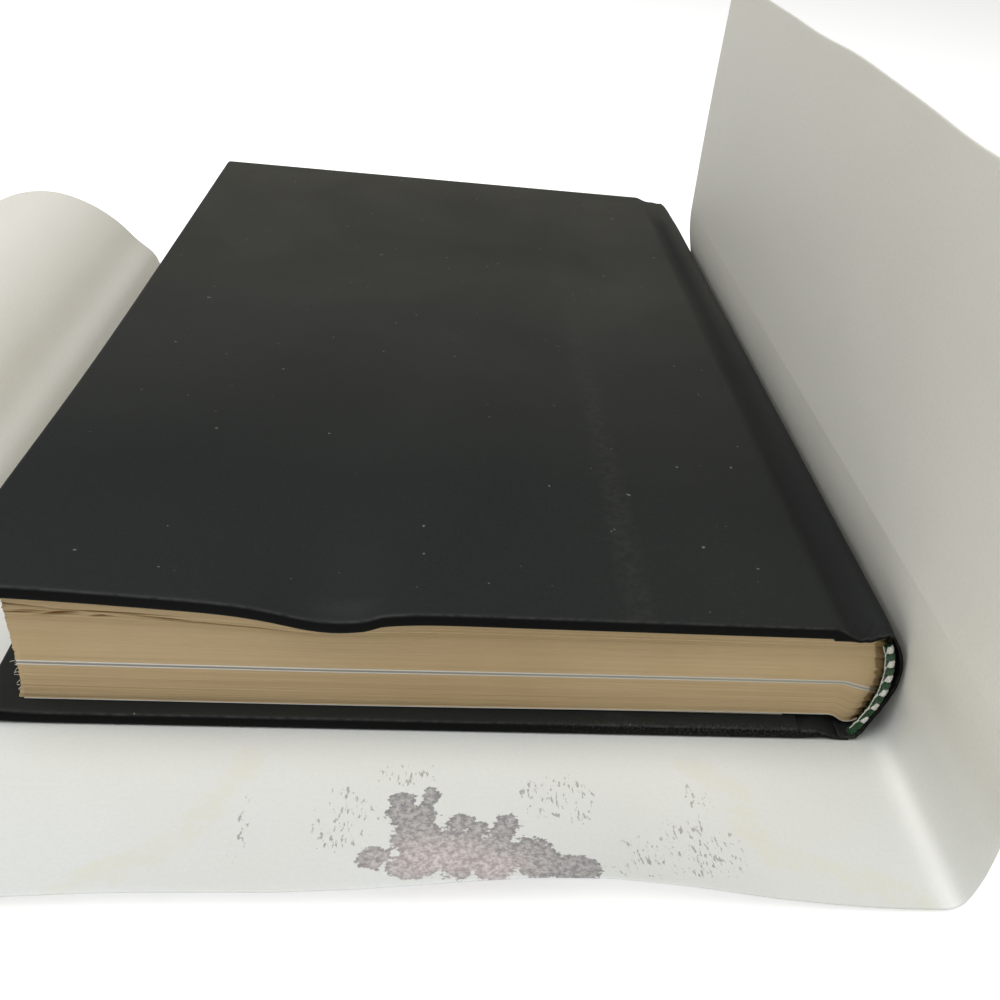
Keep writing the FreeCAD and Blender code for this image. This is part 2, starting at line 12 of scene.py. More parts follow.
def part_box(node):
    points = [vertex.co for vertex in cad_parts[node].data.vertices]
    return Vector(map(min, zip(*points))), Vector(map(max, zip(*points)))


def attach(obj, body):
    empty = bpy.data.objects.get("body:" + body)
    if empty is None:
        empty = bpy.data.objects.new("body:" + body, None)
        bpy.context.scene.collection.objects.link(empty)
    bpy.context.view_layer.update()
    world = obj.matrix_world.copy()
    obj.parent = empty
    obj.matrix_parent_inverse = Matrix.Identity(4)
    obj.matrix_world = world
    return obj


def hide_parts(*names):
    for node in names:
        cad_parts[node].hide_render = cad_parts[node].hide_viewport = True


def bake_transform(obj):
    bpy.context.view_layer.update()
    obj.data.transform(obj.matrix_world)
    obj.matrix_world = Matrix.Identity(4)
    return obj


MM = 0.001
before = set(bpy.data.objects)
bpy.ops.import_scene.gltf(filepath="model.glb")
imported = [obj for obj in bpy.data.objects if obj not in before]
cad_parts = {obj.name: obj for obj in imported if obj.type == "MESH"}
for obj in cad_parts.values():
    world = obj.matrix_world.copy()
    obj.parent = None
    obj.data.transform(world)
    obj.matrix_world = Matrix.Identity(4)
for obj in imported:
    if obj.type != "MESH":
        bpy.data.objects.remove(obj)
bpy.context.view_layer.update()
SEED = 7


def node_box(node):
    """The lowest and highest corners of a node, in millimetres."""
    low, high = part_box(node)
    return np.array(low) / MM, np.array(high) / MM


BACK_LOW, BACK_HIGH = node_box("back_covering")
SPINE_LOW, SPINE_HIGH = node_box("spine_covering")
BLOCK_LOW, BLOCK_HIGH = node_box("text_block")
JACKET_LOW, JACKET_HIGH = node_box("dust_jacket")

# The book, from the frame
FORE_X, NEAR_Y, BASE_Z = BACK_LOW
HINGE_X, FAR_Y = BACK_HIGH[:2]
COVER = BACK_HIGH[2] - BASE_Z
SPINE_X = SPINE_HIGH[0]
SHOULDER_X = HINGE_X + 2.2
MID_Z = (SPINE_LOW[2] + SPINE_HIGH[2]) / 2
SPINE_DROP = SPINE_LOW[2] - BASE_Z
TOP_Z = 2 * MID_Z - BASE_Z
SPINE_ROUND = 5.1
HALF_CHORD = TOP_Z - MID_Z - SPINE_DROP
SPINE_RADIUS = (HALF_CHORD**2 + SPINE_ROUND**2) / (2 * SPINE_ROUND)
SPINE_CENTRE = SPINE_X - SPINE_RADIUS
BLOCK_RADIUS = SPINE_RADIUS - 2.0
BLOCK_FORE, BLOCK_NEAR = BLOCK_LOW[:2]
BLOCK_FAR = BLOCK_HIGH[1]
BLOCK_INSET = COVER + 0.6
GROOVE_X = HINGE_X + 4.9
GROOVE_DEPTH = 2.4
GROOVE_START = 5.9
RIDGE = 4.7
CLOTH = 0.3
LEAF = 0.16


def bell(distance, reach):
    """One at the middle, fading smoothly to nothing at about twice the reach."""
    return np.exp(-((distance / reach) ** 2))


def smooth(value, start, end):
    """A smooth step from 0 at start to 1 at end: three t squared less two t cubed."""
    t = np.clip((value - start) / (end - start), 0.0, 1.0)
    return t * t * (3 - 2 * t)


def wander(values, seed, waves=5, period=40.0):
    """A smooth random line from -1 to 1: a sum of sines of rising frequency and random phase."""
    rng = np.random.default_rng(seed)
    total = np.zeros_like(values, dtype=float)
    for k in range(1, waves + 1):
        phase, turn = rng.uniform(0, 2 * np.pi, 2)
        total += np.sin(values * 2 * np.pi * k / period + phase) * np.cos(turn) / k
    return total / 1.6


def spread(length, step, rim=(), far_rim=None):
    """Positions from 0 to a length, at even steps, with extra ones near both ends."""
    far_rim = rim if far_rim is None else far_rim
    first = rim[-1] if rim else 0.0
    last = length - (far_rim[-1] if far_rim else 0.0)
    count = max(int(round((last - first) / step)), 1)
    middle = np.linspace(first, last, count + 1)
    head = np.array([0.0, *rim[:-1]]) if rim else np.array([])
    tail = length - np.array([0.0, *far_rim[:-1]])[::-1] if far_rim else np.array([])
    return np.concatenate([head, middle, tail])


def through(points, positions):
    """A smooth line through points, by Hermite cubics whose slopes are the mean of their runs."""
    points = np.asarray(points, float)
    runs = np.linalg.norm(np.diff(points, axis=0), axis=1)
    marks = np.concatenate([[0.0], np.cumsum(runs)])
    slopes = np.gradient(points, marks, axis=0)
    at = np.clip(positions, 0.0, marks[-1])
    index = np.clip(np.searchsorted(marks, at, side="right") - 1, 0, len(runs) - 1)
    run = runs[index][:, None]
    t = ((at - marks[index])[:, None]) / run
    a, b = points[index], points[index + 1]
    rise = (2 * t**3 - 3 * t**2 + 1) * a + (-2 * t**3 + 3 * t**2) * b
    lean = (t**3 - 2 * t**2 + t) * run * slopes[index] + (t**3 - t**2) * run * slopes[index + 1]
    return rise + lean


def length_of(points):
    """The length of a line of points."""
    return float(np.linalg.norm(np.diff(np.asarray(points, float), axis=0), axis=1).sum())


def mesh_object(name, points, faces, uv=None, marks=None):
    """A mesh from points in millimetres, with an optional UV and named values for each point."""
    mesh = bpy.data.meshes.new(name)
    rows = faces.tolist() if isinstance(faces, np.ndarray) else faces
    mesh.from_pydata((np.asarray(points) * MM).tolist(), [], rows)
    mesh.shade_smooth()
    if uv is not None:
        layer = mesh.uv_layers.new(name="unrolled")
        corners = np.zeros(len(mesh.loops), dtype=np.int32)
        mesh.loops.foreach_get("vertex_index", corners)
        layer.data.foreach_set("uv", (np.asarray(uv)[corners]).astype(np.float32).ravel())
    for key, values in (marks or {}).items():
        attribute = mesh.attributes.new(key, "FLOAT", "POINT")
        attribute.data.foreach_set("value", np.asarray(values, np.float32).ravel())
    mesh.update()
    obj = bpy.data.objects.new(name, mesh)
    bpy.context.scene.collection.objects.link(obj)
    return obj


def grid_faces(rows, columns, start=0, turned=False):
    """Quads of a grid of points kept row by row."""
    i, j = np.meshgrid(np.arange(rows - 1), np.arange(columns - 1), indexing="ij")
    a = start + i * columns + j
    quads = np.stack([a, a + columns, a + columns + 1, a + 1], axis=-1).reshape(-1, 4)
    return quads[:, ::-1] if turned else quads


def rim_loop(rows, columns):
    """The border points of a grid, in order around it."""
    grid = np.arange(rows * columns).reshape(rows, columns)
    return np.concatenate([grid[:, 0], grid[-1, 1:], grid[-2::-1, -1], grid[0, -2:0:-1]])


def rounded_arris(outer, inner, radius):
    """Draws two facing grids together near their border along a quarter circle, so the edge is round."""
    gap = outer - inner
    thick = np.linalg.norm(gap, axis=-1)
    way = gap / np.maximum(thick, 1e-6)[..., None]
    radii = np.minimum(radius, thick * 0.49)

    def away(grid, axis):
        runs = np.linalg.norm(np.diff(grid, axis=axis), axis=-1)
        pad = [(0, 0), (0, 0)]
        pad[axis] = (1, 0)
        walked = np.cumsum(np.pad(runs, pad), axis=axis)
        whole = np.take(walked, [-1], axis=axis)
        return np.minimum(walked, whole - walked)

    border = np.minimum(away(outer, 0), away(outer, 1))
    left = np.clip(radii - border, 0.0, radii)
    drop = radii - np.sqrt(np.maximum(radii**2 - left**2, 0.0))
    return outer - way * drop[..., None], inner + way * drop[..., None], border


def plate(name, outer, inner, radius, uv=None, turned=False, extra=None):
    """A closed plate between two matching grids of points, with a round arris and its rub marks."""
    rows, columns = outer.shape[:2]
    outer, inner, border = rounded_arris(outer, inner, radius)
    count = rows * columns
    points = np.concatenate([outer.reshape(-1, 3), inner.reshape(-1, 3)])
    loop = rim_loop(rows, columns)
    after = np.roll(loop, -1)
    side = np.stack([loop, after, after + count, loop + count], axis=-1)
    if not turned:
        side = side[:, ::-1]
    upper, lower = grid_faces(rows, columns, 0, turned), grid_faces(rows, columns, count, not turned)
    faces = np.concatenate([upper, lower, side])
    marks = {"border": np.tile(border.ravel(), 2)}
    for key, values in (extra or {}).items():
        marks[key] = np.tile(np.asarray(values).ravel(), 2)
    both = None if uv is None else np.tile(uv.reshape(-1, 2), (2, 1))
    return mesh_object(name, points, faces, both, marks)


# Shapes that several pieces share


# Damage to the front cover: a lifted corner and a dent in the near edge, in height, across and along
LIFT, LIFT_ACROSS, LIFT_ALONG = 2.9, 42.0, 60.0
DENT, DENT_PLACE, DENT_ACROSS, DENT_ALONG = 2.2, 60.0, 11.0, 25.0


def warp(x, y):
    """How far the front cover stands above its flat place: a bell less a bell, fading at the hinge."""
    across = x - FORE_X
    along = y - NEAR_Y
    lift = LIFT * bell(across, LIFT_ACROSS) * bell(along, LIFT_ALONG)
    dent = DENT * bell(across - DENT_PLACE, DENT_ACROSS) * bell(along, DENT_ALONG)
    return (lift - dent) * (1 - smooth(x, HINGE_X - 20, HINGE_X))


def crushed_edge(x, y):
    """The bruise in the dent: the arris is pressed down and ends in a sharp fold near the spine side."""
    across = x - FORE_X
    along = y - NEAR_Y
    ramp = smooth(across, 50.0, 65.0) * (1 - smooth(across, 67.0, 70.5))
    return -0.8 * ramp * (1 - smooth(along, 0.5, 5.5))


def cap_folds(x, y):
    """Small puckers of the covering over the near end of the front ridge: slanted ripples."""
    across = x - (GROOVE_X + 2.0)
    along = y - NEAR_Y
    ripple = np.sin((across - 0.75 * along) * 2 * np.pi / 2.0)
    return 0.3 * ripple * bell(across, 3.2) * bell(along - 1.5, 3.0)


def pinch(y, z):
    """How far the ends of the spine are drawn in, most of all below its middle."""
    from_end = np.minimum(y - NEAR_Y, FAR_Y - y)
    return (0.4 + 0.45 * bell(z - MID_Z + 5.0, 4.5)) * (1 - smooth(from_end, 0.0, 7.0))


def groove_dip(x):
    """Depth of the French groove: half a cosine down to its bottom and half a cosine up to the ridge."""
    across = x - GROOVE_X
    left = GROOVE_DEPTH * (1 + np.cos(np.pi * np.clip(across / GROOVE_START, -1, 0))) / 2
    right = SPINE_DROP + (GROOVE_DEPTH - SPINE_DROP) * (
        1 + np.cos(np.pi * np.clip(across / RIDGE, 0, 1))
    ) / 2
    return np.where(across < 0, left, right)


def rounded_corner(x, y, radius, x_edge, y_edges):
    """Rounds the corners of a flat outline at one X edge: a square's corner is pressed to a disc's."""
    x, y = x.copy(), y.copy()
    for y_edge in y_edges:
        inward_x = 1.0 if x_edge < 0 else -1.0
        inward_y = 1.0 if y_edge < 0 else -1.0
        a = (radius - (x - x_edge) * inward_x) / radius
        b = (radius - (y - y_edge) * inward_y) / radius
        near = (a > 0) & (b > 0)
        a, b = np.clip(a, 0, 1), np.clip(b, 0, 1)
        round_a = a * np.sqrt(1 - b * b / 2)
        round_b = b * np.sqrt(1 - a * a / 2)
        x = np.where(near, x_edge + inward_x * radius * (1 - round_a), x)
        y = np.where(near, y_edge + inward_y * radius * (1 - round_b), y)
    return x, y


# Where the covering of the spine runs in under the book: how far in, and heights above the paper
FOOT_IN = np.array([3.8, 4.6, 5.8, 6.8, 8.0])
FOOT_RISE = np.array([0.55, 0.42, 0.4, 0.45, 0.9])
ARRIS_RIM = (0.08, 0.25, 0.5, 0.9, 1.5)
CORNER_RADIUS = 1.8
COVER_ARRIS = 0.75
DENSE = 14.0
DENSE_PART = spread(DENSE, 0.7, ARRIS_RIM, ())
LENGTHWISE = np.concatenate([DENSE_PART, DENSE + spread(FAR_Y - NEAR_Y - DENSE, 1.9, (), ARRIS_RIM)[1:]])


def front_covering():
    """The dark covering over the upper board, the front groove and the rounded spine.

    A profile runs from the fore edge over the board, by cosines through the groove, along the arc
    of the spine to the lower ridge, and is carried along Y with the lift and the dent added.
    """
    board_run = HINGE_X - 0.4 - FORE_X
    board_x = FORE_X + spread(board_run, 1.4, ARRIS_RIM, (0.3, 0.6))
    groove_x = np.linspace(HINGE_X - 0.1, GROOVE_X + RIDGE, 22)
    flat_x = np.concatenate([board_x, groove_x])
    flat_z = TOP_Z - groove_dip(flat_x)
    end_angle = np.arcsin(HALF_CHORD / SPINE_RADIUS) * 0.94
    angle = np.linspace(end_angle, -end_angle, 34)
    arc_x = SPINE_CENTRE + SPINE_RADIUS * np.cos(angle) + smooth(-angle, 0.42, 0.66)
    arc_z = MID_Z + SPINE_RADIUS * np.sin(angle)
    path_x = np.concatenate([flat_x, arc_x, SPINE_X - FOOT_IN])
    path_z = np.concatenate([flat_z, arc_z, BASE_Z + FOOT_RISE])
    path = np.stack([path_x, path_z], axis=-1)
    run = np.gradient(path, axis=0)
    run /= np.linalg.norm(run, axis=1)[:, None]
    inward = np.stack([run[:, 1], -run[:, 0]], axis=-1)
    on_board = np.arange(len(path)) < len(board_x)
    on_spine = smooth(path[:, 0], GROOVE_X + RIDGE - 1.0, GROOVE_X + RIDGE + 1.5)
    inward[on_board] = (0.0, -1.0)
    y = NEAR_Y + LENGTHWISE
    x_grid, y_grid = np.meshgrid(path[:, 0], y, indexing="ij")
    z_grid = np.repeat(path[:, 1][:, None], len(y), axis=1)
    is_upper = (path[:, 1] > MID_Z)[:, None]
    z_grid = z_grid + np.where(is_upper, warp(x_grid, y_grid) + crushed_edge(x_grid, y_grid), 0.0)
    z_grid = z_grid + np.where(is_upper, cap_folds(x_grid, y_grid), 0.0)
    from_end = np.minimum(y_grid - NEAR_Y, FAR_Y - y_grid)
    x_grid = x_grid - pinch(y_grid, z_grid) * on_spine[:, None]
    far_end = 1 - smooth(FAR_Y - y_grid, 7.0, 28.0)
    ridge = smooth(x_grid, GROOVE_X + 0.5, GROOVE_X + 4.0) * smooth(z_grid, MID_Z + 6.0, TOP_Z - 1.0)
    z_grid = z_grid - (0.6 + 0.6 * far_end) * ridge
    z_grid = z_grid + 1.1 * far_end * bell(x_grid - GROOVE_X, 3.0) * is_upper
    turned_in = 0.15 * on_spine[:, None] * (1 - smooth(from_end, 12.0, 15.0))
    thick = np.where(on_board[:, None], COVER, CLOTH + turned_in)
    x_round, y_round = rounded_corner(x_grid, y_grid, CORNER_RADIUS, FORE_X, (NEAR_Y, FAR_Y))
    outer = np.stack([x_round, y_round, z_grid], axis=-1)
    step = np.stack(
        [inward[:, 0][:, None] * thick, np.zeros_like(thick), inward[:, 1][:, None] * thick], axis=-1
    )
    inner = outer + step
    is_joint = ~on_board[:, None] & is_upper & (x_grid < GROOVE_X + 4.5)
    joint_z = TOP_Z - COVER - 0.5 + 1.2 * smooth(x_grid, GROOVE_X + 1.0, GROOVE_X + 4.5)
    inner[..., 2] = np.where(is_joint, np.minimum(inner[..., 2], joint_z), inner[..., 2])
    # Where shade is painted on the cloth: a bell across the front groove, fading out towards the far end
    shade = bell(x_grid - GROOVE_X - 0.6, 2.6) * is_upper * (1 - far_end)
    return plate("front_covering_skin", outer, inner, COVER_ARRIS, extra={"groove": shade})


def back_covering():
    """The dark covering over the lower board and the back groove, a flat plate that thins to cloth."""
    board_run = HINGE_X - 0.4 - FORE_X
    board_x = FORE_X + spread(board_run, 1.8, ARRIS_RIM, (0.3, 0.6))
    groove_x = np.linspace(HINGE_X - 0.1, GROOVE_X + RIDGE + 0.6, 18)
    x = np.concatenate([board_x, groove_x])
    on_board = np.arange(len(x)) < len(board_x)
    y = NEAR_Y + LENGTHWISE
    x_grid, y_grid = np.meshgrid(x, y, indexing="ij")
    from_end = np.minimum(y_grid - NEAR_Y, FAR_Y - y_grid)
    pressed = 1 - 0.85 * (1 - smooth(from_end, 1.0, 9.0))
    low = BASE_Z + groove_dip(x)[:, None] * pressed
    swell = bell(np.hypot(x_grid - FORE_X, y_grid - NEAR_Y), 6.0)
    joint = CLOTH + 2.3 * (1 - pressed) * smooth(x_grid, SPINE_X - 7.5, HINGE_X + 2.0)
    thick = np.where(on_board[:, None], COVER + 0.5 * swell, joint)
    low = low + 0.4 * swell
    wave = 0.12 * wander(x_grid, SEED + 3, period=60.0) * bell(y_grid - NEAR_Y, 3.0)
    high = low + thick + np.where(on_board[:, None], wave, 0.0)
    x_round, y_round = rounded_corner(x_grid, y_grid, CORNER_RADIUS, FORE_X, (NEAR_Y, FAR_Y))
    upper = np.stack([x_round, y_round, high], axis=-1)
    lower = np.stack([x_round, y_round, low], axis=-1)
    return plate("back_covering_skin", upper, lower, COVER_ARRIS)


# The text block


def block_levels():
    """Heights of the drawn leaf edges, as shares of the block, closer together at the top."""
    even = np.concatenate([np.linspace(0.0, 0.8, 84), np.linspace(0.93, 1.0, 8)])
    close = np.linspace(0.8, 0.93, 45)[1:-1]
    sharp = [edge + side for edge in PLATES for side in (-0.0006, 0.0006)]
    return np.sort(np.concatenate([even, close, sharp]))


def block_bottom(x, y):
    """The underside of the leaves: flat, and flared over the shoulder by the spine."""
    flare = 1.9 * smooth(x, GROOVE_X + 1.3, GROOVE_X + 5.1) - 1.2 * smooth(x, 78.3, 80.4)
    return BASE_Z + BLOCK_INSET - 0.2 + 0.7 * smooth(x, -30.0, 66.0) - flare


def block_top(x, y):
    """The upper side of the leaves: it follows the front cover, with a shoulder by the spine."""
    flare = 0.9 * smooth(x, SHOULDER_X + 3.5, SHOULDER_X + 9.0)
    return TOP_Z - BLOCK_INSET + warp(x, y) + flare


def leaf_heights(x, y, share):
    """Height of the leaf at a share of the block; near the spine the leaves dive to their folds."""
    low, high = block_bottom(x, y), block_top(x, y)
    bend = warp(x, y)
    dive = smooth(x, BLOCK_HIGH[0] - 5.7, BLOCK_HIGH[0]) ** 2
    sag = 2.0 * dive + 0.3 * (1 - smooth(x, -76.0, 20.0))
    return low + (high - bend - low) * share + bend * share**4 - sag * np.sin(np.pi * share)


PLATES = 0.370, 0.384, 0.403, 0.417


def is_plate(share):
    """One in the two white plates, a half in the grey one between them."""
    inside = (share > PLATES[0]) & (share < PLATES[3])
    between = (share > PLATES[1]) & (share < PLATES[2])
    return inside * 1.0 - between * 0.5


# The line of the fore edge: how far in it stands at shares of the height
FORE_SHARES = 0.0, 0.02, 0.075, 0.19, 0.3, 0.45, 0.6, 1.0
FORE_STEPS = -0.6, -0.55, -0.16, 0.32, 0.46, 0.52, 0.66, 0.74


def leaf_jitter(share, size, seed):
    """Unevenness of single leaves: random offsets at even heights, joined by straight lines."""
    offsets = np.random.default_rng(seed).normal(0, size, 110)
    return np.interp(share, np.linspace(0, 1, 110), offsets)


def fore_inset(share, along):
    """How far a leaf's fore edge stands in or out: a stepped line with rough single leaves."""
    rough = leaf_jitter(share, 0.1, SEED + 11)
    step = np.interp(share, FORE_SHARES, FORE_STEPS) - 0.05 * is_plate(share)
    return step + rough + 0.1 * wander(along, SEED + 5, period=9.0)


# Gaps among the top leaves, recessed and painted with shade: level, half thickness, half length, place from
# the fore edge, tilt
LEAF_GAPS = (
    (0.853, 0.0100, 3.2, 16.6, 0.0060),
    (0.846, 0.0040, 3.0, 10.0, 0.0010),
    (0.862, 0.0035, 2.5, 12.5, 0.0000),
    (0.849, 0.0055, 1.6, 23.2, 0.0030),
    (0.882, 0.0035, 9.0, 25.0, 0.0000),
    (0.857, 0.0035, 6.0, 33.0, -0.0026),
    (0.830, 0.0035, 12.0, 42.0, -0.0010),
    (0.905, 0.0040, 6.0, 8.0, -0.0020),
)


def leaf_gap(across, share):
    """Gaps between the top leaves, where they splay under the lifted corner: thin bells that recess the
    leaves and mark where shade is painted.
    """
    total = np.zeros(np.broadcast(across, share).shape)
    for level, thin, reach, start, tilt in LEAF_GAPS:
        drift = level + tilt * (across - start)
        here = bell(across - start, reach)
        total = np.maximum(total, bell(share - drift, thin * (0.4 + 0.6 * here)) * here)
    return total


# The arc of the head and tail bands, their cord, their stitches and the angles of the groups of stitches
CORD_RADIUS = 0.7
BAND_X, BAND_Z, BAND_RADIUS = SPINE_X - 27.1, MID_Z - 1.8, 25.1
BAND_START, BAND_END = np.radians([-26.5, 27.5])
STITCH = 0.24
GROUP_ANGLES = np.radians(25.5 - 4.35 * np.arange(13))
GROUP_HALF_ANGLE = np.radians(2.2)
STITCH_TURNS = range(-125, 160, 31)


def band_side(height):
    """The arc on which the band leans against the folds of the leaves, at each height."""
    return BAND_X + np.sqrt((BAND_RADIUS - 0.2) ** 2 - (height - BAND_Z) ** 2)


def text_block():
    """All the leaves: rings around the block, one for each level, closed by two faces."""
    share = block_levels()
    length = BLOCK_FAR - BLOCK_NEAR
    across = np.linspace(0.0, 1.0, 150)
    along = np.linspace(0.0, 1.0, 64)
    rows, columns = len(across), len(along)
    loop = rim_loop(rows, columns)
    u, v = np.meshgrid(across, along, indexing="ij")
    u_ring, v_ring = u.ravel()[loop][:, None], v.ravel()[loop][:, None]
    levels = share[None, :]
    y_ring = BLOCK_NEAR + v_ring * length
    mid_height = leaf_heights(np.full_like(levels, BLOCK_HIGH[0] - 1.0), y_ring * 0, levels)
    lean = np.clip(mid_height - MID_Z, -BLOCK_RADIUS * 0.56, BLOCK_RADIUS * 0.56)
    spine_x = SPINE_CENTRE + np.sqrt(BLOCK_RADIUS**2 - lean**2)
    near_end = 1 - smooth(np.minimum(y_ring - BLOCK_NEAR, BLOCK_FAR - y_ring), 2.0, 9.0)
    spine_x = spine_x + near_end * (band_side(mid_height) + 0.6 - spine_x)
    fore_x = BLOCK_FORE + fore_inset(levels, y_ring)
    x = fore_x + (spine_x - fore_x) * u_ring
    near_rough = leaf_jitter(levels, 0.04, SEED + 12)
    gap = leaf_gap((x - FORE_X), levels + 0 * x)
    at_near = smooth(v_ring, 0.02, 0.0)
    at_far = smooth(v_ring, 0.98, 1.0)
    fold_notch = 0.35 * smooth(u_ring, 0.985, 1.0) * (wander(levels * 90, SEED + 9, 6, 9.0) + 0.3)
    y = y_ring + at_near * (near_rough + 0.5 * gap + fold_notch) - at_far * near_rough
    z = leaf_heights(x, y, levels)
    ring = np.stack([x, y, z], axis=-1)
    count = len(loop)
    ring_points = ring.transpose(1, 0, 2).reshape(-1, 3)
    k, i = np.meshgrid(np.arange(len(share) - 1), np.arange(count), indexing="ij")
    after = (i + 1) % count
    walls = np.stack(
        [k * count + i, (k + 1) * count + i, (k + 1) * count + after, k * count + after], axis=-1
    ).reshape(-1, 4)
    points, faces = [ring_points], [walls]
    inner = np.setdiff1d(np.arange(rows * columns), loop)
    start = len(ring_points)
    for level, turned in ((0, True), (len(share) - 1, False)):
        x_in = fore_x[0, level] + (SPINE_CENTRE + BLOCK_RADIUS * 0.83 - fore_x[0, level]) * u.ravel()[inner]
        y_in = BLOCK_NEAR + v.ravel()[inner] * length
        z_in = leaf_heights(x_in, y_in, share[level])
        index = np.zeros(rows * columns, dtype=int)
        index[loop] = level * count + np.arange(count)
        index[inner] = start + np.arange(len(inner))
        faces.append(index[grid_faces(rows, columns, 0, turned)])
        points.append(np.stack([x_in, y_in, z_in], axis=-1))
        start += len(inner)
    points = np.concatenate(points)
    shares = np.concatenate([np.repeat(share, count), np.zeros(len(inner)), np.ones(len(inner))])
    around = np.concatenate([np.tile(np.where(v_ring[:, 0] < 0.01, x[:, 0], y_ring[:, 0]), len(share)),
                             points[len(ring_points):, 0]])
    # The gap values also mark where shade is painted between the leaves
    dark = np.concatenate([gap.T.ravel(), np.zeros(2 * len(inner))])
    uv = np.stack([around * MM, shares * (BLOCK_HIGH[2] - BLOCK_LOW[2]) * MM], axis=-1)
    # Where the band of glue and painted shade lies, along the folds by the band
    fold_x = band_side(points[:, 2]) - 0.5 - 0.07 * points[:, 2]
    folds = smooth(points[:, 0] - fold_x, -0.9, 0.9)
    marks = {"gap": dark, "plates": is_plate(shares), "folds": folds}
    return mesh_object("text_block_leaves", points, np.concatenate(faces), uv, marks)


def leaf_plate(name, x_range, y_range, height, thick, steps=(2.4, 3.0)):
    """A sheet of endpaper whose height is a function of x and y."""
    x = x_range[0] + spread(x_range[1] - x_range[0], steps[0])
    y = y_range[0] + spread(y_range[1] - y_range[0], steps[1])
    x_grid, y_grid = np.meshgrid(x, y, indexing="ij")
    upper = np.stack([x_grid, y_grid, height(x_grid, y_grid) + thick], axis=-1)
    lower = upper - np.array([0.0, 0.0, thick])
    return plate(name, upper, lower, thick * 0.4)


def front_flyleaf():
    """The free endpaper on the block, just under the front pastedown."""
    low, high = node_box("front_flyleaf")
    return leaf_plate(
        "front_flyleaf_sheet",
        (low[0] - 0.2, SHOULDER_X + 6.0),
        (low[1] - 0.1, high[1]),
        lambda x, y: block_top(x, y) + 0.02,
        LEAF,
    )


def back_flyleaf():
    """The free endpapers under the block, curling over its shoulder."""
    low, high = node_box("back_flyleaf")
    return leaf_plate(
        "back_flyleaf_sheet",
        (low[0] + 0.2, BLOCK_HIGH[0] - 1.4),
        (low[1] - 0.1, high[1]),
        lambda x, y: block_bottom(x, y) - 0.35,
        0.33,
        (0.9, 3.0),
    )


def front_pastedown():
    """The pasted endpaper inside the upper cover."""
    low, high = node_box("front_pastedown")
    return leaf_plate(
        "front_pastedown_sheet",
        (low[0], high[0]),
        (low[1], high[1]),
        lambda x, y: TOP_Z - COVER - LEAF - 0.01 + warp(x, y),
        LEAF,
    )


def back_pastedown():
    """The pasted endpaper inside the lower cover."""
    low, high = node_box("back_pastedown")
    return leaf_plate(
        "back_pastedown_sheet",
        (BLOCK_FORE + 0.6, high[0]),
        (BLOCK_NEAR + 0.4, BLOCK_FAR - 0.4),
        lambda x, y: np.full_like(x, BASE_Z + COVER + 0.005),
        0.1,
    )


# The head and tail bands

def band_frame(angle):
    """A point of the band's centre arc, its outward way and the way along it, for each angle."""
    out = np.stack([np.cos(angle), np.zeros_like(angle), np.sin(angle)], axis=-1)
    centre = np.array([BAND_X, 0.0, BAND_Z]) + BAND_RADIUS * out
    along = np.stack([-np.sin(angle), np.zeros_like(angle), np.cos(angle)], axis=-1)
    return centre, out, along


def tube(path, radius, sides, side_way):
    """Points and quads of a round tube along a path, its ends drawn in to a rounded tip."""
    run = np.gradient(path, axis=0)
    run /= np.linalg.norm(run, axis=1)[:, None]
    side = side_way - (side_way * run).sum(axis=1)[:, None] * run
    side /= np.linalg.norm(side, axis=1)[:, None]
    up = np.cross(run, side)
    turn = np.linspace(0, 2 * np.pi, sides, endpoint=False)
    ring = (
        path[:, None, :]
        + radius[:, None, None] * (np.cos(turn)[None, :, None] * side[:, None, :]
                                   + np.sin(turn)[None, :, None] * up[:, None, :])
    )
    rows = len(path)
    i, j = np.meshgrid(np.arange(rows - 1), np.arange(sides), indexing="ij")
    after = (j + 1) % sides
    faces = np.stack(
        [i * sides + j, i * sides + after, (i + 1) * sides + after, (i + 1) * sides + j], axis=-1
    ).reshape(-1, 4)
    first, last = rows * sides, rows * sides + 1
    points = np.concatenate([ring.reshape(-1, 3), path[:1], path[-1:]])
    ring_index = np.arange(sides)
    after = (ring_index + 1) % sides
    start_cap = np.stack([ring_index, np.full(sides, first), after], axis=-1)
    top = (rows - 1) * sides
    end_cap = np.stack([top + ring_index, top + after, np.full(sides, last)], axis=-1)
    return points, faces, np.concatenate([start_cap, end_cap])


def joined(parts):
    """Several tubes put in one list of points and faces, with a value for each tube's points."""
    points, faces, values, start = [], [], [], 0
    for (tube_points, quads, triangles), value in parts:
        points.append(tube_points)
        faces.extend((quads + start).tolist())
        faces.extend((triangles + start).tolist())
        values.append(np.full(len(tube_points), value))
        start += len(tube_points)
    return np.concatenate(points), faces, np.concatenate(values)


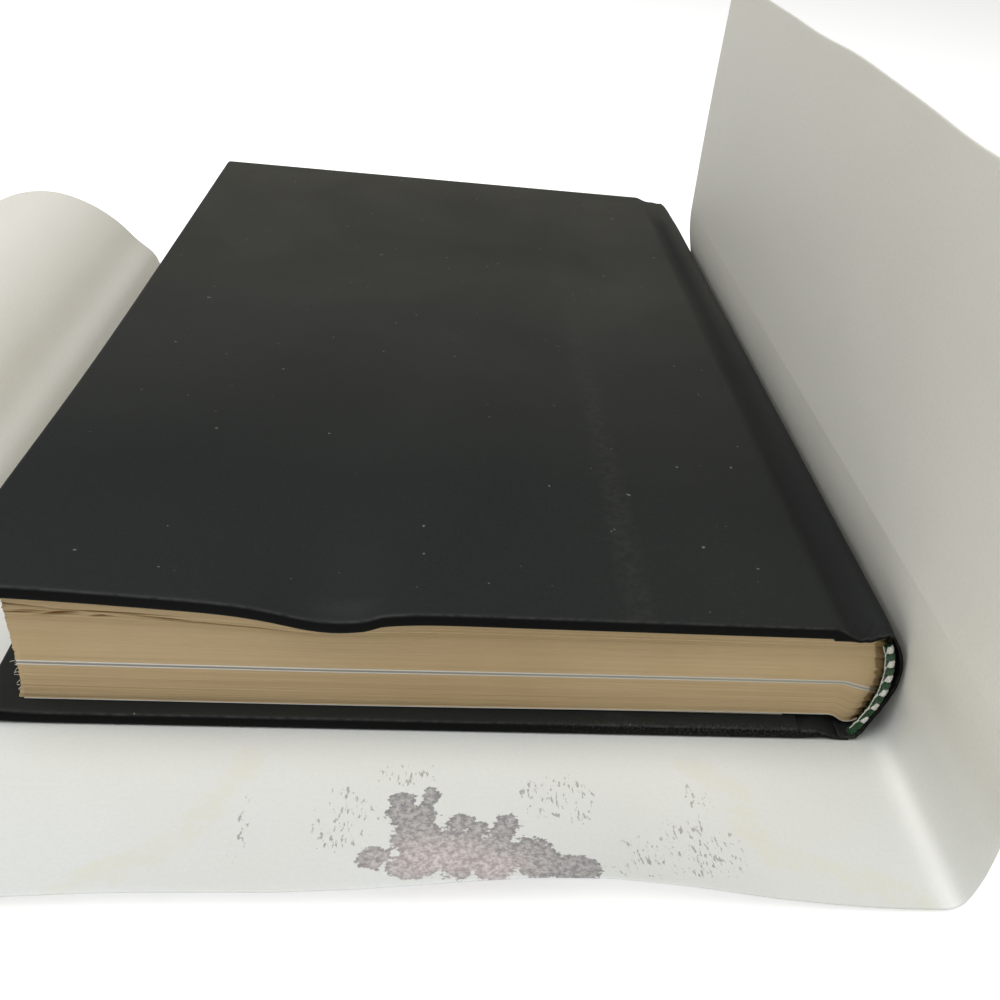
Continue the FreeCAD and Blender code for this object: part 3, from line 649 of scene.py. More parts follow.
def end_band(name, end_y, outward, inset=0.0):
    """A sewn band of bead-like stitches on a cord that follows the rounded spine.

    Groups of stitches follow each other along the arc. In every second group the stitches that face
    out are white, and in the groups between them the ones on the side of the leaves; the rest are
    green. Each stitch is a tube that swells in its middle and winds a little around the cord.
    The inset moves the whole band in from the covering.
    """
    y_mid = end_y - outward * 0.65
    core_path, _, _ = band_frame(np.linspace(BAND_START, BAND_END, 40))
    core_path[:, 1] = y_mid
    radius = np.full(40, CORD_RADIUS - STITCH * 0.4)
    radius[[0, -1]] *= 0.6
    y_way = np.array([0.0, 1.0, 0.0])
    parts = [(tube(core_path, radius, 14, np.tile(y_way, (40, 1))), 0.0)]
    t = np.linspace(0, 1, 8)
    girth = STITCH * np.sqrt(np.clip(1 - (2 * t - 1) ** 4, 0.04, 1))
    for group, middle in enumerate(GROUP_ANGLES):
        angle = middle + GROUP_HALF_ANGLE * (2 * t - 1)
        centre, out, _ = band_frame(angle)
        centre[:, 1] = y_mid
        for k, around in enumerate(STITCH_TURNS):
            turn = np.radians(around + 20 * (2 * t - 1))[:, None]
            path = centre + CORD_RADIUS * (np.sin(turn) * out + outward * np.cos(turn) * y_way)
            is_outer = group % 2 == 0 and group < 12 and k in (3, 4, 5)
            is_inner = group % 2 == 1 and k == 1
            is_white = 1.0 if is_outer or is_inner else 0.0
            wide = girth * (1.15 if is_outer else 0.85 if is_inner else 1.0)
            parts.append((tube(path, wide, 6, np.tile(y_way, (8, 1))), is_white))
    edge_path, out, _ = band_frame(np.linspace(BAND_START, BAND_END, 60))
    edge_path = edge_path - (CORD_RADIUS + 0.2) * out
    edge_path[:, 1] = y_mid + outward * 0.1
    edge_path[:, 0] += 0.12 * wander(np.linspace(0, 60, 60), SEED + 41, period=12.0)
    parts.append((tube(edge_path, np.full(60, 0.1), 6, np.tile(y_way, (60, 1))), 1.0))
    points, faces, white = joined(parts)
    points[:, 0] -= inset
    return mesh_object(name, points, faces, None, {"white": white})


def curved_strip(name, radii, angles, y_range):
    """A strip bent along the rounded spine, between two radii and two angles."""
    angle, y = np.meshgrid(np.linspace(*angles, 24), np.linspace(*y_range, 60), indexing="ij")
    layers = []
    for radius in radii:
        z = MID_Z + radius * np.sin(angle)
        x = SPINE_CENTRE + radius * np.cos(angle) - pinch(y, z)
        layers.append(np.stack([x, y, z], axis=-1))
    return plate(name, layers[0], layers[1], 0.08, turned=True)


# The dust jacket

FOLD_X = SPINE_X + 1.9
FLAT_PART = 185.5
CREASE_X = FOLD_X - FLAT_PART
JACKET_NEAR, JACKET_FAR = JACKET_LOW[1], JACKET_HIGH[1]
FLAP_TOP, FLAP_CREASE, FLAP_LEAN = 105.0, 38.0, 5.4
ARCH_WIDTH, ARCH_LEAD, ARCH_HEIGHT = 86.0, 31.5, 24.4
PANEL_REST, END_FLAP, END_RISE = 46.0, 92.0, 34.0
# Waves in the near edge: height, place from the fore edge of the book, half width
WAVES = (8.2, 103.2, 33.0), (4.6, 38.2, 45.0)
PAPER = 0.26
FOLD_RIM = (0.25, 0.6, 1.2)


def edge_share(y):
    """One at the jacket's near edge, fading as a square to nothing where the book covers it."""
    return np.clip((NEAR_Y - y) / (NEAR_Y - JACKET_NEAR), 0.0, 1.0) ** 2


def jacket_path():
    """The jacket's upper side where it lies straight: the panels' points and where each one starts.

    From the free edge of the standing flap down to its old crease, around the spine to the fold,
    along the floor under the book, over the arch, down to the floor and up the last flap.
    """
    crease = (FOLD_X - FLAP_LEAN, FLAP_CREASE)
    flap = [
        (FOLD_X - FLAP_LEAN * (1 + 0.12 * share), FLAP_CREASE + (FLAP_TOP - FLAP_CREASE) * share)
        for share in (1.0, 0.7, 0.35, 0.0)
    ]
    around = [(FOLD_X - 5.1, 34.5), (FOLD_X - 4.5, 30.5), (FOLD_X - 3.5, 26.3)]
    around += [(FOLD_X - 2.2, 21.3), (FOLD_X - 1.0, 15.3)]
    foot = [(FOLD_X + 0.2, 8.4), (FOLD_X + 0.1, 3.6), (FOLD_X - 0.4, 1.5), (FOLD_X - 1.6, 0.4)]
    foot += [(FOLD_X - 4.0, 0.0)]
    flat = [(FOLD_X - 4.0, 0.0), (CREASE_X, 0.0)]
    rise = [(0.0, 0.0), (0.07, 0.26), (0.22, 0.43), (0.42, 0.68), (0.65, 0.87), (1.0, 1.0)]
    fall = [(0.15, 0.97), (0.35, 0.78), (0.55, 0.47), (0.75, 0.18), (0.9, 0.03), (1.0, 0.0)]
    top_x, rest_x = CREASE_X - ARCH_LEAD, CREASE_X - ARCH_WIDTH
    arch = [(CREASE_X - ARCH_LEAD * a, ARCH_HEIGHT * b) for a, b in rise]
    arch += [(top_x - (ARCH_WIDTH - ARCH_LEAD) * a, ARCH_HEIGHT * b) for a, b in fall]
    end_x = rest_x - PANEL_REST
    rest = [(rest_x, 0.0), (end_x, 0.0)]
    last = [(end_x - END_FLAP * a, END_RISE * a**1.6) for a in np.linspace(0, 1, 6)]
    return [flap, [crease] + around + foot, flat, arch, rest, last]


# Damp damage on the flat paper: centres and half sizes of its blots, and the lines of its tide marks
MOULD = (
    (-8.3, -136.3, 2.2, 1.6),
    (-8.2, -139.6, 2.3, 2.8),
    (-3.6, -135.4, 1.5, 1.9),
    (-4.0, -139.6, 1.8, 3.1),
    (-5.7, -145.2, 3.9, 4.0),
    (-12.5, -149.4, 2.3, 2.4),
    (-5.9, -151.6, 4.2, 3.0),
    (1.1, -149.1, 3.5, 6.2),
    (1.6, -141.7, 2.0, 1.9),
    (5.4, -143.3, 1.0, 1.7),
    (9.2, -142.6, 2.2, 2.5),
    (6.8, -150.5, 3.9, 5.7),
    (13.0, -151.0, 3.5, 5.0),
    (18.8, -153.6, 4.2, 3.1),
)
SPECKS = (
    (-33.3, -142.0, 1.9, 8.9),
    (-17.5, -140.8, 6.5, 9.1),
    (-7.2, -130.4, 7.0, 4.3),
    (18.9, -136.3, 8.9, 7.6),
    (31.3, -149.4, 4.4, 7.5),
    (41.4, -147.0, 11.0, 8.3),
    (26.2, -153.6, 2.0, 2.5),
    (44.0, -135.0, 3.0, 6.0),
)
TIDE_LINES = (
    ((-57.3, -155.1), (-51.4, -151.4), (-45.2, -147.4), (-40.6, -140.9), (-35.1, -127.4)),
    ((44.3, -126.8), (50.6, -132.6), (51.5, -141.7), (54.8, -146.8), (64.0, -149.2), (72.0, -152.0),
     (78.8, -155.0)),
)


def damp_marks(x, y):
    """Fields of the damp damage on the flat paper: bells for mould, and a distance for tide marks."""

    def heap(spots):
        total = np.zeros_like(x)
        for centre_x, centre_y, half_x, half_y in spots:
            away = np.hypot((x - centre_x) / half_x, (y - centre_y) / half_y)
            total = np.maximum(total, 1 - smooth(away, 0.55, 1.5))
        return total

    mould = heap(MOULD)
    middle = np.maximum(
        bell(np.hypot((x + 2.0) / 1.7, y + 150.5), 6.0), bell(np.hypot((x - 6.5) / 1.4, y + 153.0), 4.5)
    )
    tide = np.full_like(x, -20.0)
    for line in TIDE_LINES:
        for (x0, y0), (x1, y1) in zip(line, line[1:]):
            share = ((x - x0) * (x1 - x0) + (y - y0) * (y1 - y0)) / ((x1 - x0) ** 2 + (y1 - y0) ** 2)
            share = np.clip(share, 0, 1)
            away = np.hypot(x - x0 - share * (x1 - x0), y - y0 - share * (y1 - y0))
            tide = np.maximum(tide, 2.2 - away)
    return {"mould": mould, "middle": middle, "specks": heap(SPECKS), "tide": tide * MM}


def dust_jacket():
    """One folded sheet of paper: its profile carried along Y, with waves, curls and a limp edge."""
    runs = jacket_path()
    pieces, starts, walked = [], [], 0.0
    for points, step in zip(runs, (2.2, 1.2, 1.7, 1.6, 4.0, 3.5)):
        whole = length_of(points)
        marks = spread(whole, step, FOLD_RIM)
        line = through(points, marks)
        pieces.append(np.column_stack([line, walked + marks]))
        starts.append(walked)
        walked += whole
    rows = np.concatenate([p if k == 0 else p[1:] for k, p in enumerate(pieces)])
    x_line, z_line, s_line = rows[:, 0], rows[:, 1], rows[:, 2]
    bare = NEAR_Y + 4.0 - JACKET_NEAR
    near_part = spread(bare, 1.2, (0.4,), ())
    far_part = bare + spread(JACKET_FAR - JACKET_NEAR - bare, 3.0, (), (0.4, 1.2, 2.4))
    y = JACKET_NEAR + np.concatenate([near_part, far_part[1:]])
    x = np.repeat(x_line[:, None], len(y), axis=1)
    z = np.repeat(z_line[:, None], len(y), axis=1)
    s = np.repeat(s_line[:, None], len(y), axis=1)
    y_grid = np.repeat(y[None, :], len(x_line), axis=0)
    share = edge_share(y_grid)
    is_flap = (s < starts[1] + 0.01).astype(float)
    up = np.clip((z - FLAP_CREASE) / (FLAP_TOP - FLAP_CREASE), 0, 1)
    curl = 5.0 * share * np.clip(up - 0.5, 0, 1) * 2
    bow = 0.5 * np.sin(np.pi * up) * np.sin((y_grid - JACKET_NEAR) * np.pi / 150.0 + 0.4)
    full = 1.3 * share * bell(z - 19.0, 9.0) * (s < starts[2])
    x = x + is_flap * (curl + bow) + full
    z = z + is_flap * up * (0.5 * wander(y_grid, SEED + 21, period=160.0))
    z = z + is_flap * up * 2.6 * smooth(y_grid, -100.0, -20.0)
    is_base = ((s >= starts[2]) & (s <= starts[3])).astype(float)
    across = x - FORE_X
    wave = sum(high * bell(across - middle, reach) for high, middle, reach in WAVES)
    ends = np.clip(3 * np.sin(np.pi * np.clip((FOLD_X - x) / FLAT_PART, 0, 1)), 0, 1)
    z = z + is_base * wave * ends * share
    z = z + is_base * 0.15 * ends * share * (1 + wander(across, SEED + 22, period=46.0))
    is_left = (s > starts[3]).astype(float)
    soft = smooth(s, starts[3] + 4, starts[3] + 25)
    z = z + is_left * soft * 0.35 * (wander(y_grid + 0.6 * s, SEED + 23, period=120.0) + 1) * (
        1 - smooth(s, starts[4] - 22, starts[4] - 4)
    )
    top = np.stack([x, y_grid, z], axis=-1)
    run = np.stack([np.gradient(x, axis=0), np.gradient(z, axis=0)], axis=-1)
    run /= np.linalg.norm(run, axis=-1)[..., None]
    lift = np.stack([run[..., 1], np.zeros_like(x), -run[..., 0]], axis=-1)
    upper = top + lift * PAPER
    uv = np.stack([s * MM, (y_grid - JACKET_NEAR) * MM], axis=-1)
    flat_x = FOLD_X - 4.0 - (s - starts[2])
    fields = damp_marks(flat_x, y_grid)
    # Painted light: the standing flap and the arch get a warmer tint, standing for warm light bounced onto
    # them
    fields["raised_bounce_tint"] = 1 - smooth(s, starts[1], starts[2]) * (1 - smooth(s, starts[3], starts[3] + 20))
    # Painted highlight: a pale band along the fold where the jacket turns up, fading out under the book
    fields["fold"] = 0.7 * bell(s - starts[2] + 2.6, 2.6) * smooth(y_grid, NEAR_Y + 2.0, NEAR_Y - 4.0)
    return plate("dust_jacket_sheet", upper, top, PAPER * 0.4, uv, turned=True, extra=fields)


def lint():
    """Loose fibres and hairs on the near end of the fore edge: short bent tubes."""
    rng = np.random.default_rng(SEED + 31)
    parts = []
    for _ in range(26):
        height = BASE_Z + COVER + rng.uniform(0.8, 9.0)
        start = np.array([BLOCK_FORE - 0.05, BLOCK_NEAR + rng.uniform(0, 4.0), height])
        way = np.array([-rng.uniform(0.2, 0.9), rng.uniform(-0.3, 0.2), rng.uniform(-0.3, 0.4)])
        sag = np.array([0.0, rng.uniform(-0.4, 0.4), rng.uniform(-0.6, 0.3)])
        t = np.linspace(0, 1, 6)[:, None]
        path = start + way * t + sag * t**2
        parts.append((tube(path, np.full(6, 0.045), 5, np.tile([0.1, 1.0, 0.3], (6, 1))), 0.0))
    points, faces, _ = joined(parts)
    return mesh_object("fore_edge_fibres", points, faces, np.zeros((len(points), 2)))


# Materials


def linear(code):
    """An sRGB hex colour as linear light: a twelfth for dark values, a 2.4 power above them."""
    share = np.array([int(code[k : k + 2], 16) for k in (1, 3, 5)]) / 255
    light = np.where(share <= 0.04045, share / 12.92, ((share + 0.055) / 1.055) ** 2.4)
    return (*light.tolist(), 1.0)


def add(tree, kind, inputs=None, **settings):
    """Adds a shader node. An input takes a value, or a node or socket that feeds it."""
    node = tree.nodes.new("ShaderNode" + kind)
    for key, value in settings.items():
        setattr(node, key, value)
    for key, value in (inputs or {}).items():
        socket = node.inputs[key] if isinstance(key, int) else None
        for found in node.inputs:
            if socket is None and found.enabled and key in (found.identifier, found.name):
                socket = found
        if isinstance(value, bpy.types.Node):
            value = next(out for out in value.outputs if out.enabled)
        if isinstance(value, bpy.types.NodeSocket):
            tree.links.new(value, socket)
        elif isinstance(value, str):
            socket.default_value = linear(value)
        else:
            socket.default_value = value
    return node


def material(name, finish):
    """A material whose shader has the inputs that finish(tree) returns."""
    made = bpy.data.materials.new(name)
    made.use_nodes = True
    tree = made.node_tree
    tree.nodes.clear()
    shader = add(tree, "BsdfPrincipled", finish(tree))
    add(tree, "OutputMaterial", {"Surface": shader})
    return made


def book_cloth(tree):
    """Charcoal book cloth, starch filled: a fine even grain, dull, rubbed pale along its arrises, with
    painted sheen towards the far end and painted shade on upright faces and in the groove.
    """
    place = add(tree, "TexCoord").outputs["Object"]
    xyz = add(tree, "SeparateXYZ", {"Vector": place})
    grain = add(tree, "TexNoise", {"Vector": place, "Scale": 1900.0, "Detail": 3.0, "Roughness": 0.6})
    weave = add(tree, "TexNoise", {"Vector": place, "Scale": 620.0, "Detail": 2.0})
    cloud = add(tree, "TexNoise", {"Vector": place, "Scale": 16.0, "Detail": 3.0, "Distortion": 0.4})
    speck = add(tree, "TexNoise", {"Vector": place, "Scale": 700.0, "Detail": 1.0, "Roughness": 0.3})
    # Painted sheen: the base colour grows lighter and warmer towards the far end, where the cover catches
    # the light at a grazing angle
    far = add(tree, "MapRange", {"Value": xyz.outputs["Y"], "From Min": -0.08, "From Max": 0.125})
    base = add(tree, "Mix", {"Factor": far, "A": "#212423", "B": "#47463f"}, data_type="RGBA")
    mottle = add(tree, "MapRange", {"Value": cloud, "From Min": 0.35, "From Max": 0.68, "To Max": 0.35})
    fleck = add(tree, "MapRange", {"Value": grain, "From Min": 0.42, "From Max": 0.72, "To Max": 0.3})
    # A faint streak where the cover was rubbed, parallel to the spine
    shifted = add(tree, "Math", {0: cloud, 1: 0.004, 2: 0.0292}, operation="MULTIPLY_ADD")
    aside = add(tree, "Math", {0: xyz.outputs["X"], 1: shifted}, operation="SUBTRACT")
    aside = add(tree, "Math", {0: aside}, operation="ABSOLUTE")
    streak = add(
        tree,
        "MapRange",
        {"Value": aside, "From Min": 0.0, "From Max": 0.0045, "To Min": 0.3, "To Max": 0.0},
        interpolation_type="SMOOTHSTEP",
    )
    patchy = add(tree, "MapRange", {"Value": weave, "From Min": 0.35, "From Max": 0.65})
    streak = add(tree, "Math", {0: streak, 1: patchy}, operation="MULTIPLY")
    # Painted shade: faces that stand upright, the sides of the boards among them, are painted darker than
    # faces that look up, and given less gloss
    facing = add(tree, "SeparateXYZ", {"Vector": add(tree, "TexCoord").outputs["Normal"]})
    upright = add(tree, "Math", {0: facing.outputs["Z"]}, operation="ABSOLUTE")
    spans = {"Value": upright, "From Min": 0.3, "From Max": 0.85, "To Min": 0.85, "To Max": 0.0}
    side = add(tree, "MapRange", spans)
    gloss = add(tree, "Math", {0: side, 1: -0.17, 2: 0.2}, operation="MULTIPLY_ADD")
    # Painted shade along the front groove, where the skin's groove value is high
    groove = add(tree, "Attribute", attribute_name="groove")
    painted_groove_shade = add(tree, "Math", {0: groove.outputs["Fac"], 1: 0.7}, operation="MULTIPLY")
    border = add(tree, "Attribute", attribute_name="border")
    off_arris = add(tree, "Math", {0: border.outputs["Fac"], 1: 0.3}, operation="SUBTRACT")
    off_arris = add(tree, "Math", {0: off_arris}, operation="ABSOLUTE")
    worn = add(
        tree,
        "MapRange",
        {"Value": off_arris, "From Min": 0.03, "From Max": 0.22, "To Min": 0.5, "To Max": 0.0},
    )
    worn = add(tree, "Math", {0: worn, 1: patchy}, operation="MULTIPLY")
    dust = add(tree, "MapRange", {"Value": speck, "From Min": 0.81, "From Max": 0.83, "To Max": 0.5})
    # The near edge of the lower cover is frayed by its right end
    edge_y = add(tree, "MapRange", {"Value": xyz.outputs["Y"], "From Min": -0.1183, "From Max": -0.1195})
    edge_x = add(tree, "MapRange", {"Value": xyz.outputs["X"], "From Min": 0.005, "From Max": 0.05})
    edge_z = add(tree, "MapRange", {"Value": xyz.outputs["Z"], "From Min": 0.0042, "From Max": 0.0034})
    frayed = add(tree, "Math", {0: edge_y, 1: edge_x}, operation="MULTIPLY")
    frayed = add(tree, "Math", {0: frayed, 1: edge_z}, operation="MULTIPLY")
    pits = add(tree, "MapRange", {"Value": grain, "From Min": 0.5, "From Max": 0.6, "To Max": 0.6})
    frayed = add(tree, "Math", {0: frayed, 1: pits}, operation="MULTIPLY")
    tints = (
        (mottle, "#171817"),
        (fleck, "#2c2d2a"),
        (streak, "#3c3c38"),
        (side, "#0b0b0b"),
        (painted_groove_shade, "#161717"),
        (worn, "#454542"),
        (dust, "#8b8a84"),
        (frayed, "#454441"),
    )
    for share, tint in tints:
        base = add(tree, "Mix", {"Factor": share, "A": base, "B": tint}, data_type="RGBA")
    rough = add(
        tree, "MapRange", {"Value": cloud, "From Min": 0.3, "From Max": 0.7, "To Min": 0.56, "To Max": 0.7}
    )
    fine = add(tree, "Bump", {"Height": grain, "Strength": 0.35, "Distance": 0.00012})
    bumps = add(tree, "Bump", {"Height": weave, "Strength": 0.25, "Distance": 0.0003, "Normal": fine})
    return {"Base Color": base, "Roughness": rough, "Normal": bumps, "Specular IOR Level": gloss}


def cut_leaves(tree):
    """Edges of cut bulky book paper, gone tan: close streaks, painted shade in the gaps between leaves and
    some white plates.

    The leaves are a tenth of a millimetre thick, too fine to show, so a streak is three leaves deep.
    """
    uv = add(tree, "UVMap", uv_map="unrolled")
    fine_place = add(tree, "Mapping", {"Vector": uv, "Scale": (16.0, 5000.0, 1.0)})
    broad_place = add(tree, "Mapping", {"Vector": uv, "Scale": (9.0, 760.0, 1.0)})
    fine = add(tree, "TexNoise", {"Vector": fine_place, "Scale": 1.0, "Detail": 2.0})
    broad = add(tree, "TexNoise", {"Vector": broad_place, "Scale": 1.0, "Detail": 2.0})
    depth = add(tree, "SeparateXYZ", {"Vector": uv})
    place = add(tree, "TexCoord").outputs["Object"]
    cloud = add(tree, "TexNoise", {"Vector": place, "Scale": 30.0, "Detail": 3.0})
    low = add(
        tree,
        "MapRange",
        {"Value": depth.outputs["Y"], "From Min": 0.007, "From Max": 0.013, "To Min": 1.0, "To Max": 0.25},
    )
    tone = add(tree, "MapRange", {"Value": fine, "From Min": 0.32, "From Max": 0.66})
    for part in (low, 0.42):
        tone = add(tree, "Math", {0: tone, 1: part}, operation="MULTIPLY")
    layer = add(tree, "MapRange", {"Value": broad, "From Min": 0.4, "From Max": 0.7, "To Max": 0.2})
    soil = add(tree, "MapRange", {"Value": cloud, "From Min": 0.45, "From Max": 0.75, "To Max": 0.3})
    plates = add(tree, "Attribute", attribute_name="plates")
    is_any = add(tree, "Math", {0: plates.outputs["Fac"], 1: 0.25}, operation="GREATER_THAN")
    is_white = add(tree, "Math", {0: plates.outputs["Fac"], 1: 0.75}, operation="GREATER_THAN")
    plate_tone = add(tree, "Mix", {"Factor": is_white, "A": "#a39d92", "B": "#f4f1ea"}, data_type="RGBA")
    faded = add(tree, "MapRange", {"Value": depth.outputs["X"], "From Min": -0.03, "From Max": 0.07})
    faded = add(tree, "Math", {0: faded, 1: 0.5}, operation="MULTIPLY")
    plate_tone = add(tree, "Mix", {"Factor": faded, "A": plate_tone, "B": "#c4bcab"}, data_type="RGBA")
    # Painted shade in the gaps between the top leaves
    gap = add(tree, "Attribute", attribute_name="gap")
    dark = add(
        tree, "MapRange", {"Value": gap.outputs["Fac"], "From Min": 0.12, "From Max": 0.7, "To Max": 0.9}
    )
    # A darker olive band along the leaves' folds by the band: partly glue, partly painted shade in the
    # recess there
    folds = add(tree, "Attribute", attribute_name="folds")
    jagged = add(tree, "Math", {0: broad, 1: 1.4, 2: -0.7}, operation="MULTIPLY_ADD")
    fold_glue_and_shade = add(tree, "Math", {0: folds.outputs["Fac"], 1: jagged}, operation="ADD")
    fold_glue_and_shade = add(tree, "MapRange", {"Value": fold_glue_and_shade, "From Min": 0.42, "From Max": 0.7, "To Max": 0.75})
    base = "#dbc197"
    tints = (
        (tone, "#9e8058"),
        (layer, "#bd9f72"),
        (soil, "#bc9e6e"),
        (is_any, plate_tone),
        (dark, "#8a5f30"),
        (fold_glue_and_shade, "#7d6433"),
    )
    for share, tint in tints:
        base = add(tree, "Mix", {"Factor": share, "A": base, "B": tint}, data_type="RGBA")
    bumps = add(tree, "Bump", {"Height": fine, "Strength": 0.5, "Distance": 0.0002})
    return {"Base Color": base, "Roughness": 0.82, "Normal": bumps, "Specular IOR Level": 0.25}


def endpaper(tree):
    """White uncoated endpaper: soft, with a faint tooth and slight yellowing in clouds."""
    place = add(tree, "TexCoord").outputs["Object"]
    tooth = add(tree, "TexNoise", {"Vector": place, "Scale": 1500.0, "Detail": 3.0})
    cloud = add(tree, "TexNoise", {"Vector": place, "Scale": 22.0, "Detail": 4.0})
    tint = add(tree, "MapRange", {"Value": cloud, "From Min": 0.4, "From Max": 0.75, "To Max": 0.6})
    base = add(tree, "Mix", {"Factor": tint, "A": "#e4e1d6", "B": "#d5ccb4"}, data_type="RGBA")
    bumps = add(tree, "Bump", {"Height": tooth, "Strength": 0.2, "Distance": 0.0001})
    return {"Base Color": base, "Roughness": 0.8, "Normal": bumps, "Specular IOR Level": 0.3}


def grey_board(tree):
    """Grey binder's board of pulped paper: dull, with light and dark shreds."""
    place = add(tree, "TexCoord").outputs["Object"]
    pulp = add(tree, "TexNoise", {"Vector": place, "Scale": 900.0, "Detail": 4.0})
    shred = add(tree, "MapRange", {"Value": pulp, "From Min": 0.4, "From Max": 0.65})
    base = add(tree, "Mix", {"Factor": shred, "A": "#8b857a", "B": "#6c675e"}, data_type="RGBA")
    bumps = add(tree, "Bump", {"Height": pulp, "Strength": 0.3, "Distance": 0.0002})
    return {"Base Color": base, "Roughness": 0.9, "Normal": bumps}


def gauze(tree):
    """Open cotton gauze glued on paper: a grid of pale threads two millimetres apart."""
    place = add(tree, "TexCoord").outputs["Object"]
    xyz = add(tree, "SeparateXYZ", {"Vector": place})
    threads = []
    for axis in ("Y", "Z"):
        wave = add(tree, "Math", {0: xyz.outputs[axis], 1: 2 * np.pi / 0.002}, operation="MULTIPLY")
        threads.append(add(tree, "Math", {0: wave}, operation="SINE"))
    over = add(tree, "Math", {0: threads[0], 1: threads[1]}, operation="MAXIMUM")
    pale = add(tree, "MapRange", {"Value": over, "From Min": 0.7, "From Max": 0.95})
    base = add(tree, "Mix", {"Factor": pale, "A": "#b59f74", "B": "#ded4ba"}, data_type="RGBA")
    bumps = add(tree, "Bump", {"Height": pale, "Strength": 0.4, "Distance": 0.0002})
    return {"Base Color": base, "Roughness": 0.85, "Normal": bumps}


def silk_thread(tree):
    """Mercerised cotton thread in dark green and white: twisted, with a low sheen."""
    place = add(tree, "TexCoord").outputs["Object"]
    twist = add(tree, "TexNoise", {"Vector": place, "Scale": 3800.0, "Detail": 2.0})
    white = add(tree, "Attribute", attribute_name="white")
    shade = add(tree, "MapRange", {"Value": twist, "From Min": 0.35, "From Max": 0.65})
    green = add(tree, "Mix", {"Factor": shade, "A": "#1b5229", "B": "#0d3417"}, data_type="RGBA")
    pale = add(tree, "Mix", {"Factor": shade, "A": "#f1efe8", "B": "#d4d2c8"}, data_type="RGBA")
    base = add(tree, "Mix", {"Factor": white.outputs["Fac"], "A": green, "B": pale}, data_type="RGBA")
    bumps = add(tree, "Bump", {"Height": twist, "Strength": 0.4, "Distance": 0.0001})
    return {
        "Base Color": base,
        "Roughness": 0.5,
        "Normal": bumps,
        "Sheen Weight": 0.3,
        "Sheen Roughness": 0.4,
    }


